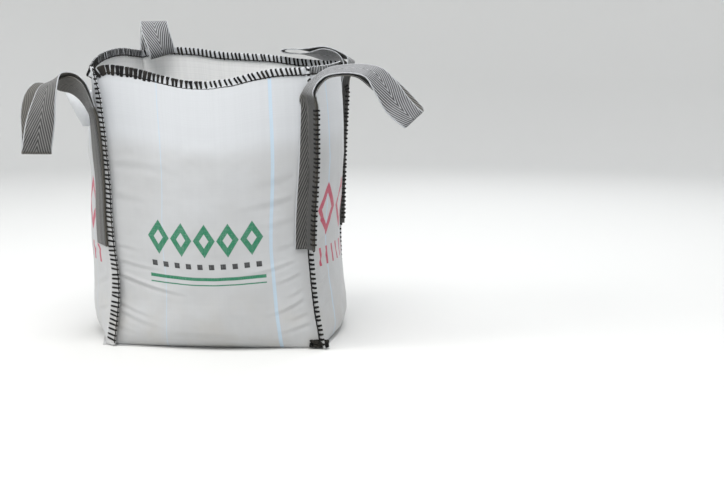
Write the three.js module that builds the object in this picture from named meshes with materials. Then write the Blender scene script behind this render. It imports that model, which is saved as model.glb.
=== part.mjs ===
// Open-topped bulk bag of crushed gravel: four woven side panels and a base sewn together with
// overlocked seams, four webbing lifting loops on the corners, and the gravel that it holds.
// Units are millimetres, +Z is up, the front panel faces -Y and the origin is under the base's centre.
import * as THREE from "three";

// Fabric, thread and webbing
const FABRIC = 1.2; // woven sheet of a panel
const GAP = 0.3; // clearance between pieces that touch
const FILL_GAP = 0.9; // between the gravel and the walls
const HEM_TALL = 18; // overlock stitching round the mouth
const HEM_THREAD = 1.2; // how thick the stitching lies on the fabric
const HEM_GAP = 0.8; // between the stitching and the rolled edge that it wraps
const SEAM_THICK = 2; // overlock stitching of a corner, with the two turned-out edges inside it
const BASE_BORDER = 10; // base fabric outside the walls
const WEB_WIDE = 70;
const WEB_THICK = 2.4;
const PLY_GAP = 1.6; // between a loop's two legs, which are sewn down one on the other

// Heights
const WALL_FOOT = FABRIC + GAP;
const FILL_EDGE = 488; // gravel against the walls
const MOUTH = 650; // about where the walls end
const MOUND = 62; // gravel's middle above its edge
const LOW_LEVELS = [WALL_FOOT, 12, 28, 48, 80, 130, 180, 232, 296, 360, 424, FILL_EDGE];
const HIGH_SHARES = [0.25, 0.5, 0.75, 1]; // from the fill to the hem's foot
const LEVELS = LOW_LEVELS.length + HIGH_SHARES.length + 1; // the last is the panels' top edge
const FILL_LEVEL = LOW_LEVELS.length - 1;
const WEB_FOOT_LEVEL = LOW_LEVELS.indexOf(232); // the webbing is sewn on from here
const SEAM_HEAD_LEVEL = LEVELS - 3; // the corners' stitching ends here
const levelOf = (share) => FILL_LEVEL + 1 + HIGH_SHARES.indexOf(share);

// A smooth curve through [position, value] pairs.
function curveThrough(pairs) {
  const spline = new THREE.CubicInterpolant(
    pairs.map(([at]) => at),
    pairs.map(([, value]) => value),
    1,
  );
  return (at) => spline.evaluate(at)[0];
}

// The corners in turn round the bag. At each one the two panels' edges are turned out as a seam, which
// points seamAngle degrees from +X. webOnSeam of the webbing's width lies on it, up to the level of share
// webHead, and it reaches seamPast beyond the webbing, or seamBare from the corner where it is bare.
const CORNERS = [
  {
    name: "front_left",
    x: curveThrough([
      [0, -249], [90, -238], [160, -234], [250, -243], [380, -246], [470, -253], [600, -266], [650, -264],
    ]),
    y: curveThrough([[0, -240], [160, -232], [400, -236], [650, -244]]),
    seamAngle: -38,
    seamStart: 10,
    seamBare: 28,
    seamPast: 13,
    webOnSeam: () => 12,
    webHead: 0.25,
  },
  {
    name: "front_right",
    x: curveThrough([[0, 258], [45, 251], [100, 241], [150, 236], [230, 229], [430, 236], [650, 229]]),
    y: curveThrough([[0, -240], [160, -232], [400, -236], [650, -242]]),
    seamAngle: -58,
    seamStart: 0.8,
    seamBare: 21,
    seamPast: 3,
    webOnSeam: curveThrough([[0, 41], [300, 41], [375, 42], [490, 48], [564, 54], [650, 58]]),
    webHead: 0.5,
  },
  {
    name: "back_right",
    x: curveThrough([[0, 250], [160, 240], [400, 242], [655, 254]]),
    y: curveThrough([[0, 240], [160, 232], [400, 238], [655, 248]]),
    seamAngle: 45,
    seamStart: 0.8,
    seamBare: 24,
    seamPast: 3,
    webOnSeam: () => 30,
    webHead: 0.75,
  },
  {
    name: "back_left",
    x: curveThrough([[0, -244], [160, -234], [400, -240], [680, -268]]),
    y: curveThrough([[0, 240], [160, 232], [400, 238], [680, 250]]),
    seamAngle: 135,
    seamStart: 0.8,
    seamBare: 24,
    seamPast: 3,
    webOnSeam: () => 30,
    webHead: 0.75,
  },
];

// Each panel runs from the corner of its own number to the next. bulge is how far its middle stands
// out of the straight line between them at each height, and hem is the height of its top edge.
const PANELS = [
  {
    name: "front_panel",
    bulge: curveThrough([
      [0, 14], [12, 34], [28, 50], [60, 60], [160, 64], [300, 56], [430, 42], [520, 24], [650, -4],
    ]),
    hem: curveThrough([
      [-1, 650], [-0.8, 654], [-0.5, 641], [-0.2, 620], [0.05, 616], [0.3, 624], [0.6, 643], [1, 650],
    ]),
  },
  {
    name: "right_panel",
    bulge: curveThrough([
      [0, 16], [12, 29], [28, 38], [60, 44], [150, 43], [230, 39], [422, 45], [560, 39], [650, 26],
    ]),
    hem: curveThrough([[-1, 650], [-0.4, 652], [0.3, 657], [1, 655]]),
  },
  {
    name: "back_panel",
    bulge: curveThrough([
      [0, 16], [12, 36], [28, 53], [60, 63], [160, 67], [300, 60], [430, 46], [520, 28], [670, 4],
    ]),
    hem: curveThrough([
      [-1, 655], [-0.6, 661], [-0.3, 672], [0, 676], [0.2, 679], [0.45, 689], [0.8, 691], [1, 682],
    ]),
  },
  {
    name: "left_panel",
    bulge: curveThrough([
      [0, 34], [12, 58], [28, 75], [60, 89], [160, 96], [300, 94], [430, 86], [520, 70], [680, 18],
    ]),
    hem: curveThrough([[-1, 682], [-0.4, 690], [0.1, 684], [0.6, 668], [1, 650]]),
  },
];

const PANEL_WIDE = 490; // from corner to corner, near enough to place the columns

const cornerAt = (corner, z) =>
  new THREE.Vector3(CORNERS[corner % 4].x(z), CORNERS[corner % 4].y(z), z);

// Columns across a panel, from one corner (-1) to the next (1). The last but one is where the edge of
// the next corner's webbing lies, and the others are spread evenly.
const SIDES = 10;
function columnAt(panel, column, z) {
  if (column === SIDES) return 1;
  const webbing = WEB_WIDE - CORNERS[(panel + 1) % 4].webOnSeam(z);
  const edge = 1 - (2 * webbing) / PANEL_WIDE;
  return -1 + ((edge + 1) * column) / (SIDES - 1);
}

// Height of a level on a panel: fixed up to the gravel's edge, and then shared out up to the top.
function heightAt(panel, column, level) {
  if (level <= FILL_LEVEL) return LOW_LEVELS[level];
  const hem = PANELS[panel].hem(columnAt(panel, column, MOUTH));
  if (level === LEVELS - 1) return hem - HEM_THREAD - HEM_GAP;
  return FILL_EDGE + (hem - HEM_TALL - FILL_EDGE) * HIGH_SHARES[level - FILL_LEVEL - 1];
}

// A point on the inner face of a panel, which leaves its corners gently and is fullest at its middle.
function onPanel(panel, u, z) {
  const from = cornerAt(panel, z);
  const to = cornerAt(panel + 1, z);
  const out = new THREE.Vector3(to.y - from.y, from.x - to.x, 0).normalize();
  const fullness = (1 - u * u) ** 1.25;
  return from.lerp(to, (u + 1) / 2).addScaledVector(out, PANELS[panel].bulge(z) * fullness);
}

// A line of points moved sideways, to its right as it is walked, each piece by the same distance.
function offsetLine(points, distance, closed = false) {
  const last = points.length - 1;
  const sideOf = (a, b) => new THREE.Vector3(b.y - a.y, a.x - b.x, 0).normalize();
  return points.map((point, i) => {
    const before = i > 0 ? points[i - 1] : closed ? points[last] : null;
    const after = i < last ? points[i + 1] : closed ? points[0] : null;
    const one = sideOf(before ?? point, before ? point : after);
    const two = sideOf(after ? point : before, after ?? point);
    const reach = distance / (1 + one.dot(two));
    return point.clone().addScaledVector(one.add(two), reach);
  });
}

// The inside outline of the four walls at a level: every column of each panel but its last.
function outline(level) {
  return PANELS.flatMap((_, panel) =>
    Array.from({ length: SIDES }, (_, column) => {
      const z = heightAt(panel, column, level);
      return onPanel(panel, columnAt(panel, column, z), z);
    }),
  );
}
const AROUND = PANELS.length * SIDES;

// The outlines of each level, moved out by a distance.
const outlinesAt = (distance) =>
  Array.from({ length: LEVELS }, (_, level) => offsetLine(outline(level), distance, true));
const INNER = outlinesAt(0);
const OUTER = outlinesAt(FABRIC);

const FACES_TO_MINUS_Y = 3; // a BoxGeometry's group

// The -Y face of a box cut into a grid gets its diagonals turned, to run as those of the +Y face do, so
// that a thin wall keeps its thickness where it is twisted.
function turnDiagonals(geometry) {
  const index = geometry.index.array;
  const { start, count } = geometry.groups[FACES_TO_MINUS_Y];
  for (let i = start; i < start + count; i += 6) {
    const [a, b, d, , c] = index.slice(i, i + 6);
    index.set([a, b, c, a, c, d], i);
  }
}

// A box cut into a grid and bent into shape: place gives the point of each column, side and row.
function bentBox(columns, rows, place) {
  const geometry = new THREE.BoxGeometry(columns, 1, rows, columns, 1, rows);
  turnDiagonals(geometry);
  const at = geometry.getAttribute("position");
  for (let i = 0; i < at.count; i++) {
    const column = Math.round(at.getX(i) + columns / 2);
    const side = Math.round(at.getY(i) + 0.5);
    const row = Math.round(at.getZ(i) + rows / 2);
    const point = place(column, side, row);
    at.setXYZ(i, point.x, point.y, point.z);
  }
  geometry.computeVertexNormals();
  return geometry;
}

const material = (color, roughness) =>
  new THREE.MeshStandardMaterial({ color, roughness, metalness: 0 });
const MATERIALS = {
  fabric: material(0xd9d8d3, 0.62),
  thread: material(0x2c2b2a, 0.8),
  webbing: material(0x56565a, 0.75),
  gravel: material(0x7b8487, 0.95),
  label: material(0xe6eaee, 0.5),
};

const bag = new THREE.Group();

function add(name, geometry, look) {
  const mesh = new THREE.Mesh(geometry, MATERIALS[look]);
  mesh.name = name;
  bag.add(mesh);
}

// One side panel. Its ends stop just short of the corners, where the next panel begins.
function panelGeometry(panel) {
  return bentBox(SIDES, LEVELS - 1, (column, side, level) => {
    const faces = side === 0 ? OUTER : INNER;
    const ring = faces[level];
    const point = ring[(panel * SIDES + column) % AROUND].clone();
    const inward = column === 0 ? 1 : column === SIDES ? -1 : 0;
    if (inward === 0) return point;
    const neighbour = ring[(panel * SIDES + column + inward + AROUND) % AROUND];
    const along = neighbour.clone().sub(point).setZ(0).normalize();
    return point.addScaledVector(along, GAP / 2);
  });
}
PANELS.forEach((panel, i) => add(panel.name, panelGeometry(i), "fabric"));

// The base lies flat under the walls, and its border is the seam allowance that shows round them.
function baseGeometry() {
  const edge = offsetLine(outline(0), BASE_BORDER, true);
  const shape = new THREE.Shape(edge.map((p) => new THREE.Vector2(p.x, p.y)));
  return new THREE.ExtrudeGeometry(shape, { depth: FABRIC, bevelEnabled: false });
}
add("base_panel", baseGeometry(), "fabric");

// The overlock stitching of the mouth wraps the panels' top edges, inside and outside.
const HEM_NEAR = HEM_GAP;
const HEM_FAR = HEM_GAP + HEM_THREAD;
const HEM_SECTION = [
  { faces: OUTER, out: HEM_FAR, level: LEVELS - 2, up: GAP },
  { faces: OUTER, out: HEM_FAR, level: LEVELS - 1, up: HEM_FAR },
  { faces: INNER, out: -HEM_FAR, level: LEVELS - 1, up: HEM_FAR },
  { faces: INNER, out: -HEM_FAR, level: LEVELS - 2, up: GAP },
  { faces: INNER, out: -HEM_NEAR, level: LEVELS - 2, up: GAP },
  { faces: INNER, out: -HEM_NEAR, level: LEVELS - 1, up: HEM_NEAR },
  { faces: OUTER, out: HEM_NEAR, level: LEVELS - 1, up: HEM_NEAR },
  { faces: OUTER, out: HEM_NEAR, level: LEVELS - 2, up: GAP },
];

function hemGeometry() {
  const lines = HEM_SECTION.map(({ faces, out, level }) => offsetLine(faces[level], out, true));
  const torus = new THREE.TorusGeometry(2, 1, HEM_SECTION.length, AROUND);
  const at = torus.getAttribute("position");
  for (let i = 0; i < at.count; i++) {
    const ring = Math.floor(i / (AROUND + 1)) % HEM_SECTION.length;
    const point = lines[ring][(i % (AROUND + 1)) % AROUND];
    at.setXYZ(i, point.x, point.y, point.z + HEM_SECTION[ring].up);
  }
  torus.computeVertexNormals();
  return torus;
}
add("hem_stitching", hemGeometry(), "thread");

// The seam's line at a corner and level, on the outer face of the walls: the webbing's inner edge on
// the panel that ends here, the corner, and the seam's outward direction.
function cornerLine(corner, level) {
  const end = ((corner + 3) % 4) * SIDES + SIDES;
  const ring = OUTER[level];
  const angle = THREE.MathUtils.degToRad(CORNERS[corner].seamAngle);
  return {
    root: ring[end % AROUND].clone(),
    inner: ring[end - 1].clone(),
    out: new THREE.Vector3(Math.cos(angle), Math.sin(angle), 0),
  };
}

// The overlock stitching of a corner, as a strip that holds the two turned-out edges.
function cornerStitching(corner) {
  const { seamStart, seamBare, seamPast, webOnSeam, webHead } = CORNERS[corner];
  return bentBox(1, SEAM_HEAD_LEVEL, (column, side, level) => {
    const { root, out } = cornerLine(corner, level);
    const left = new THREE.Vector3(-out.y, out.x, 0);
    const bare = level < WEB_FOOT_LEVEL || level > levelOf(webHead);
    const reach = bare ? seamBare : webOnSeam(root.z) + seamPast;
    return root
      .addScaledVector(out, column === 0 ? seamStart : reach)
      .addScaledVector(left, side === 0 ? 0 : SEAM_THICK);
  });
}
CORNERS.forEach((corner, i) => add(`corner_stitching_${corner.name}`, cornerStitching(i), "thread"));

// One webbing leg's section where it is sewn down: three points on each face. ply 0 lies on the
// panel and ply 1 on ply 0.
function sewnSection(corner, level, ply) {
  const { root, inner, out } = cornerLine(corner, level);
  const tip = root.clone().addScaledVector(out, CORNERS[corner].webOnSeam(root.z));
  const line = [inner, root, tip];
  const near = GAP + ply * (WEB_THICK + PLY_GAP);
  return [offsetLine(line, near), offsetLine(line, near + WEB_THICK)];
}

// Where each loop goes between its two legs: the middle of the webbing, and the direction across it
// from the seam's edge to the panel's edge. The first station follows ply 0, the last meets ply 1.
const LOOPS = {
  front_left: [
    [[-283, -243, 590], [-0.36, 0.8, -0.48]],
    [[-303, -241, 610], [-0.34, 0.77, -0.54]],
    [[-326, -242, 618], [-0.4, 0.76, -0.52]],
    [[-346, -252, 622], [-0.5, 0.8, -0.32]],
    [[-357, -278, 608], [-0.76, 0.64, -0.1]],
    [[-364, -296, 570], [-0.9, 0.44, 0]],
    [[-371, -304, 525], [-1, 0.1, 0]],
    [[-377, -305, 488], [-1, 0, 0]],
    [[-384, -299, 456], [-1, 0, 0]],
    [[-389, -282, 452], [-1, 0, 0]],
    [[-395, -267, 490], [-1, 0.1, 0]],
    [[-404, -252, 542], [-0.94, 0.33, 0.05]],
    [[-401, -242, 582], [-0.85, 0.52, 0.1]],
    [[-388, -232, 602], [-0.68, 0.7, 0.2]],
    [[-366, -231, 609], [-0.5, 0.84, -0.1]],
    [[-340, -236, 609], [-0.42, 0.78, -0.46]],
    [[-312, -244, 605], [-0.36, 0.77, -0.53]],
    [[-290, -248, 588], [-0.36, 0.8, -0.48]],
  ],
  front_right: [
    [[246, -281, 596], [-0.4, 0.91, 0.1]],
    [[260, -281, 614], [-0.25, 0.96, 0.14]],
    [[286, -282, 633], [-0.04, 0.97, 0.22]],
    [[322, -281, 639], [0.05, 0.97, 0.24]],
    [[359, -278, 637], [0.25, 0.92, 0.3]],
    [[394, -265, 619], [0.45, 0.76, 0.46]],
    [[428, -259, 589], [0.5, 0.7, 0.51]],
    [[457, -262, 560], [0.5, 0.7, 0.51]],
    [[477, -278, 539], [0.52, 0.7, 0.48]],
    [[473, -295, 534], [0.52, 0.7, 0.48]],
    [[438, -295, 566], [0.66, 0.6, 0.46]],
    [[411, -292, 606], [0.6, 0.7, 0.38]],
    [[386, -288, 636], [0.42, 0.85, 0.3]],
    [[354, -284, 645], [0.2, 0.94, 0.28]],
    [[316, -284, 645], [0.03, 0.97, 0.24]],
    [[280, -284, 638], [-0.06, 0.97, 0.22]],
    [[253, -283, 619], [-0.25, 0.96, 0.14]],
    [[238, -284, 597], [-0.4, 0.91, 0.1]],
  ],
  back_right: [
    [[275, 243, 644], [-0.2, -0.97, 0.1]],
    [[252, 246, 664], [0, -0.95, 0.3]],
    [[214, 250, 670], [0, -0.88, 0.45]],
    [[176, 254, 671], [0, -0.98, 0.15]],
    [[142, 256, 673], [0, -1, 0]],
    [[114, 256, 675], [0, -1, 0]],
    [[103, 256, 680], [0, -1, 0]],
    [[114, 256, 685], [0, -1, 0]],
    [[142, 256, 684], [0, -1, 0]],
    [[176, 254, 682], [0, -0.98, 0.15]],
    [[216, 250, 679], [0, -0.86, 0.5]],
    [[254, 246, 673], [0, -0.95, 0.3]],
    [[284, 243, 658], [-0.15, -0.98, 0.1]],
  ],
  back_left: [
    [[-238, 262, 700], [1, 0, 0]],
    [[-232, 246, 730], [1, 0.1, 0.05]],
    [[-224, 220, 716], [0.98, 0.1, 0.1]],
    [[-207, 206, 684], [0.87, 0.45, 0.2]],
    [[-199, 192, 668], [0.75, 0.6, 0.24]],
    [[-201, 182, 690], [0.8, 0.56, 0.2]],
    [[-218, 196, 732], [0.96, 0.26, 0.1]],
    [[-230, 232, 756], [1, 0.1, 0.02]],
    [[-238, 266, 742], [1, 0.05, 0]],
    [[-244, 276, 700], [0.99, -0.05, 0]],
  ],
};
const FREE_STEPS = 3; // steps between stations where the webbing is free

const LEAN = { out: 3, up: 14 }; // how the webbing leaves the top of its seam

// The three rails of a free station: the panel's edge, the line over the corner, the seam's edge.
function freeRails([middle, across], webOnSeam) {
  const centre = new THREE.Vector3(...middle);
  const way = new THREE.Vector3(...across).normalize();
  const places = [WEB_WIDE / 2, webOnSeam - WEB_WIDE / 2, -WEB_WIDE / 2];
  return places.map((place) => centre.clone().addScaledVector(way, place));
}

// The same three rails just above a sewn section, leaning away from the bag.
function leaningRails(rails) {
  const [panelEdge, , seamEdge] = rails;
  const out = new THREE.Vector3(panelEdge.y - seamEdge.y, seamEdge.x - panelEdge.x, 0).normalize();
  return rails.map((rail) => rail.clone().addScaledVector(out, -LEAN.out).setZ(rail.z + LEAN.up));
}

// The whole run of one loop as sections of three points on each face.
function loopSections(corner) {
  const { name, webOnSeam, webHead } = CORNERS[corner];
  const levels = [];
  for (let level = WEB_FOOT_LEVEL; level <= levelOf(webHead); level++) levels.push(level);
  const up = levels.map((level) => sewnSection(corner, level, 0));
  const down = levels.map((level) => sewnSection(corner, level, 1)).reverse();
  const middleOf = ([one, two]) => one.map((p, i) => p.clone().lerp(two[i], 0.5));
  const stations = [
    middleOf(up.at(-2)),
    middleOf(up.at(-1)),
    leaningRails(middleOf(up.at(-1))),
    ...LOOPS[name].map((station) => freeRails(station, webOnSeam(up.at(-1)[0][1].z))),
    leaningRails(middleOf(down[0])),
    middleOf(down[0]),
    middleOf(down[1]),
  ];
  const rails = [0, 1, 2].map(
    (i) => new THREE.CatmullRomCurve3(stations.map((rail) => rail[i]), false, "centripetal"),
  );
  const spans = stations.length - 1;
  const free = [];
  for (let step = FREE_STEPS + 1; step < (spans - 1) * FREE_STEPS; step++) {
    const at = step / (spans * FREE_STEPS);
    const middle = rails.map((rail) => rail.getPoint(at));
    const onward = rails[1].getPoint(at + 0.001).sub(rails[1].getPoint(at - 0.001));
    const facing = onward.cross(middle[0].clone().sub(middle[2])).setLength(WEB_THICK / 2);
    free.push([middle.map((p) => p.clone().sub(facing)), middle.map((p) => p.clone().add(facing))]);
  }
  // The second leg is walked downwards, so its faces change places.
  return [...up, ...free, ...down.map(([one, two]) => [two, one])];
}

function loopGeometry(corner) {
  const sections = loopSections(corner);
  return bentBox(sections.length - 1, 2, (row, side, column) => sections[row][side][column]);
}
CORNERS.forEach((corner, i) => add(`lifting_loop_${corner.name}`, loopGeometry(i), "webbing"));

// A plain sheet is sewn in under the front left webbing, and its free edge stands out to the side.
const LABEL = { thick: 0.6, foot: 508, head: 592, reachFoot: 20, reachHead: 66, angle: 196, off: 1.4 };
const LABEL_BEHIND = 0.03; // share of the panel between the webbing's edge and the sheet

function labelGeometry() {
  const angle = THREE.MathUtils.degToRad(LABEL.angle);
  const away = new THREE.Vector3(Math.cos(angle), Math.sin(angle), 0);
  const left = new THREE.Vector3(-away.y, away.x, 0);
  return bentBox(1, 1, (column, side, row) => {
    const z = row === 0 ? LABEL.foot : LABEL.head;
    const reach = row === 0 ? LABEL.reachFoot : LABEL.reachHead;
    const share = columnAt(3, SIDES - 1, z) - LABEL_BEHIND;
    const edge = onPanel(3, share, z).addScaledVector(away, FABRIC + LABEL.off);
    return edge
      .addScaledVector(away, column === 0 ? 0 : reach)
      .addScaledVector(left, side === 0 ? 0 : LABEL.thick);
  });
}
add("label_sheet", labelGeometry(), "label");

// The gravel fills the walls up to its edge and rises in a low mound. Its top is as rough as its larger
// stones: each point of it is pushed up or down by a share that jumps from point to point.
const MOUND_RINGS = [0.88, 0.76, 0.64, 0.52, 0.4, 0.28, 0.15];
const STONE_RELIEF = 5;
const roughAt = (ring, step) =>
  STONE_RELIEF * Math.sin(5.3 * ring + 2.4 * step + 3 * Math.sin(1.7 * ring * step));

function gravelGeometry() {
  const walls = outlinesAt(-FILL_GAP).slice(0, FILL_LEVEL + 1);
  const edge = walls[FILL_LEVEL];
  const centre = edge.reduce((sum, p) => sum.add(p), new THREE.Vector3()).divideScalar(AROUND);
  const mound = MOUND_RINGS.map((share, ring) =>
    edge.map((p, step) => {
      const rise = MOUND * (1 - share ** 1.6) + roughAt(ring, step);
      return centre.clone().lerp(p, share).setZ(FILL_EDGE + rise);
    }),
  );
  const bottom = centre.clone().setZ(WALL_FOOT);
  const top = centre.clone().setZ(FILL_EDGE + MOUND);
  const rings = [...walls, ...mound].reverse();
  const rows = rings.length + 1;
  const sphere = new THREE.SphereGeometry(1, AROUND, rows);
  const at = sphere.getAttribute("position");
  for (let i = 0; i < at.count; i++) {
    const row = Math.floor(i / (AROUND + 1));
    const step = (i % (AROUND + 1)) % AROUND;
    const point = row === 0 ? top : row === rows ? bottom : rings[row - 1][step];
    at.setXYZ(i, point.x, point.y, point.z);
  }
  sphere.computeVertexNormals();
  return sphere;
}
add("gravel_fill", gravelGeometry(), "gravel");

export default bag;
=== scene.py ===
# %% [markdown]
# This notebook dresses an open-topped bulk bag full of crushed gravel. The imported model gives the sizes
# and places: four woven panels, the seams at their corners, the mouth's edge, four webbing loops and
# the fill. Each cell makes one piece or one finish around it, in metres and in the model's own frame.

# %% Load the frame
import math
import random
from bisect import bisect
from itertools import product

import bmesh
import bpy
from mathutils import Matrix, Vector, noise
from mathutils.bvhtree import BVHTree


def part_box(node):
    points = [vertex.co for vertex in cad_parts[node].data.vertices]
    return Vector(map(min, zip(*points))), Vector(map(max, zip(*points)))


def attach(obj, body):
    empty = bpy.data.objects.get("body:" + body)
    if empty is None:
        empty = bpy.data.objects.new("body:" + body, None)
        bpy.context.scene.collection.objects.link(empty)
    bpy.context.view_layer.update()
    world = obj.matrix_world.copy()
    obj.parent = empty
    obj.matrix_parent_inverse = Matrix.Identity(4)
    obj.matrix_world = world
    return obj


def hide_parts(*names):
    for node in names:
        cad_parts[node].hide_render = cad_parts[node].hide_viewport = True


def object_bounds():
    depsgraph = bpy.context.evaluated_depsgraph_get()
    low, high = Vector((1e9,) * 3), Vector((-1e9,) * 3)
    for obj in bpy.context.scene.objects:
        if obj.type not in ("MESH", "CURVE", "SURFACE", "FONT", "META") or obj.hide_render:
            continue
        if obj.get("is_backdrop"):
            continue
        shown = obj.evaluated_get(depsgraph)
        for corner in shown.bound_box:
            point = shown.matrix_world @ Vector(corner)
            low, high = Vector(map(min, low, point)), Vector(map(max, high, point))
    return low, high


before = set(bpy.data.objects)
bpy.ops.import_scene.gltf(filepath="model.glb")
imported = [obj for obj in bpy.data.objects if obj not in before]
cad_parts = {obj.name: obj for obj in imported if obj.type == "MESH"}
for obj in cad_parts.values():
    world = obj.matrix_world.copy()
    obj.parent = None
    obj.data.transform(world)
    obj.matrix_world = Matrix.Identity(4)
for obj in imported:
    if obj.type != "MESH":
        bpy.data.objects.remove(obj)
cad_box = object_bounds()
MM = 0.001
UP = Vector((0, 0, 1))
print("frame", [round(side, 3) for side in cad_box[1] - cad_box[0]], "m")

# %% [markdown]
# The camera stands a little to the right of the bag, just above the level of its mouth and a little over
# three and a half metres away, and looks slightly down. A long lens keeps the bag's upright edges almost
# parallel. The place was worked out from the size of the bag in the photograph.

# %% Camera
CAMERA_PLACE = (0.6415, -3.5188, 0.7107)
CAMERA_LENS = 72.1
LOOKS_DOWN = 7.89  # degrees
TURNED_LEFT = 5  # degrees

camera_data = bpy.data.cameras.new("camera")
camera_data.lens = CAMERA_LENS
camera = bpy.data.objects.new("camera", camera_data)
camera.location = CAMERA_PLACE
camera.rotation_euler = (math.radians(90 - LOOKS_DOWN), 0, math.radians(TURNED_LEFT))
bpy.context.scene.collection.objects.link(camera)
bpy.context.scene.camera = camera
print("camera", round(camera.location.length, 2), "m from the bag")

# %% [markdown]
# A plain pale floor and soft light from large area lamps stand in for an overcast day. The strongest
# lamps are above the front and high on the left, so the right side falls off a little. The world adds an
# even fill, which keeps the inside of the mouth readable.

# %% Lamps and world
BAG_MIDDLE = Vector((0, 0, 0.35))
WORLD_COLOUR = (0.93, 0.96, 1.0, 1)
WORLD_STRENGTH = 0.7


def lamp(name, place, size, power, colour):
    """A round area lamp that faces the bag."""
    data = bpy.data.lights.new(name, "AREA")
    data.shape = "DISK"
    data.size = size
    data.energy = power
    data.color = colour
    obj = bpy.data.objects.new(name, data)
    obj.location = place
    obj.rotation_euler = (BAG_MIDDLE - Vector(place)).to_track_quat("-Z", "Y").to_euler()
    bpy.context.scene.collection.objects.link(obj)
    print(name, power, "W")


lamp("sky_left", (-3.6, -1.5, 2.8), 2.6, 80, (1.0, 0.985, 0.96))
lamp("sky_front", (0.2, -4.2, 2.5), 2.4, 10, (0.97, 0.985, 1.0))
lamp("sky_right", (2.8, -0.9, 3.3), 2.6, 12, (1.0, 0.99, 0.975))
lamp("sky_above", (0.1, -1.6, 3.7), 3.0, 100, (1.0, 0.99, 0.97))
lamp("sky_back", (0.6, 3.0, 3.2), 2.6, 55, (0.97, 0.985, 1.0))

world = bpy.data.worlds.new("world")
world.use_nodes = True
background = world.node_tree.nodes["Background"].inputs
background["Color"].default_value = WORLD_COLOUR
background["Strength"].default_value = WORLD_STRENGTH
bpy.context.scene.world = world
bpy.context.scene.view_settings.view_transform = "Standard"

# %% Floor
FLOOR_RADIUS = 4.6
FLOOR_LEVEL = -0.4 * MM  # just under the bag
SWEEP = 1.6  # the radius of the floor's upward curve
SWEEP_STEPS = 12
ROUND_STEPS = 72
WALL_TOP = 5.0


def mesh_from(bm, name):
    """A mesh made from bm, which is freed."""
    mesh = bpy.data.meshes.new(name)
    bm.to_mesh(mesh)
    bm.free()
    return mesh


def studio():
    """A round floor that sweeps up into a wall all round, so that no horizon shows from any side."""
    arc = [i / SWEEP_STEPS * math.pi / 2 for i in range(SWEEP_STEPS + 1)]
    profile = [(0.0, 0.0)]
    profile += [(FLOOR_RADIUS + SWEEP * math.sin(a), SWEEP - SWEEP * math.cos(a)) for a in arc]
    profile.append((FLOOR_RADIUS + SWEEP, WALL_TOP))
    bm = bmesh.new()
    verts = [bm.verts.new((x, 0, z)) for x, z in profile]
    edges = [bm.edges.new(pair) for pair in zip(verts, verts[1:])]
    bmesh.ops.spin(
        bm,
        geom=verts + edges,
        cent=(0, 0, 0),
        axis=UP,
        angle=math.tau,
        steps=ROUND_STEPS,
        use_merge=True,
    )
    bmesh.ops.remove_doubles(bm, verts=bm.verts, dist=0.1 * MM)
    bmesh.ops.recalc_face_normals(bm, faces=bm.faces)
    mesh = mesh_from(bm, "floor")
    mesh.shade_smooth()
    obj = bpy.data.objects.new("floor", mesh)
    obj.location.z = FLOOR_LEVEL
    bpy.context.scene.collection.objects.link(obj)
    obj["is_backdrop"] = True
    return mesh


floor_mesh = studio()
print("floor", len(floor_mesh.polygons), "faces")

# %% [markdown]
# Every finish is a node tree on the Principled surface. Writing the trees out socket by socket is long,
# so a small class adds a node, sets its values and links its inputs in one line.

# %% A finish and its nodes
MIX_COLOUR_INPUTS = (0, 6, 7)  # the factor and the two colours of a Mix node that mixes colours
MIX_COLOUR_OUTPUT = 2


class Finish:
    """A material, with short ways to add nodes to it."""

    def __init__(self, name, colour, roughness, **surface):
        self.material = bpy.data.materials.new(name)
        self.material.use_nodes = True
        self.material.diffuse_color = (*colour, 1)
        self.tree = self.material.node_tree
        self.surface = self.tree.nodes["Principled BSDF"]
        self.surface.inputs["Base Color"].default_value = (*colour, 1)
        self.surface.inputs["Roughness"].default_value = roughness
        for socket, value in surface.items():
            self.surface.inputs[socket.replace("_", " ")].default_value = value
        print("finish", name)

    def node(self, kind, *inputs, **settings):
        made = self.tree.nodes.new("ShaderNode" + kind)
        for setting, value in settings.items():
            setattr(made, setting, value)
        for socket, value in zip(made.inputs, inputs):
            self.put(value, socket)
        return made

    def put(self, value, socket):
        if isinstance(value, bpy.types.NodeSocket):
            self.tree.links.new(value, socket)
        elif value is not None:
            socket.default_value = value

    def math(self, operation, *inputs):
        return self.node("Math", *inputs, operation=operation).outputs[0]

    def solid_place(self):
        """Where a point is, in metres."""
        return self.node("TexCoord").outputs["Object"]

    def flat_place(self):
        """Where a point is on the flat cloth, across it and along it, in metres."""
        return self.node("SeparateXYZ", self.node("UVMap", uv_map="flat").outputs[0]).outputs[:2]

    def noise(self, place, scale, detail):
        return self.node("TexNoise", place, None, scale, detail).outputs["Fac"]

    def ramp(self, value, low, high, to_low=0.0, to_high=1.0):
        """value moved from low..high to to_low..to_high, with soft ends."""
        made = self.node("MapRange", value, low, high, to_low, to_high, interpolation_type="SMOOTHSTEP")
        return made.outputs[0]

    def mix(self, share, *colours):
        made = self.node("Mix", data_type="RGBA")
        full = [(*colour, 1) if isinstance(colour, tuple) else colour for colour in colours]
        for i, value in zip(MIX_COLOUR_INPUTS, (share, *full)):
            self.put(value, made.inputs[i])
        return made.outputs[MIX_COLOUR_OUTPUT]

    def colour(self, socket):
        self.put(socket, self.surface.inputs["Base Color"])

    def bump(self, height, distance, strength):
        made = self.node("Bump")
        self.put(height, made.inputs["Height"])
        self.put(distance, made.inputs["Distance"])
        self.put(strength, made.inputs["Strength"])
        self.put(made.outputs[0], self.surface.inputs["Normal"])


# %% Finish of the floor
floor_finish = Finish("pale_floor", (0.72, 0.72, 0.71), 0.9)
floor_mesh.materials.append(floor_finish.material)

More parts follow.
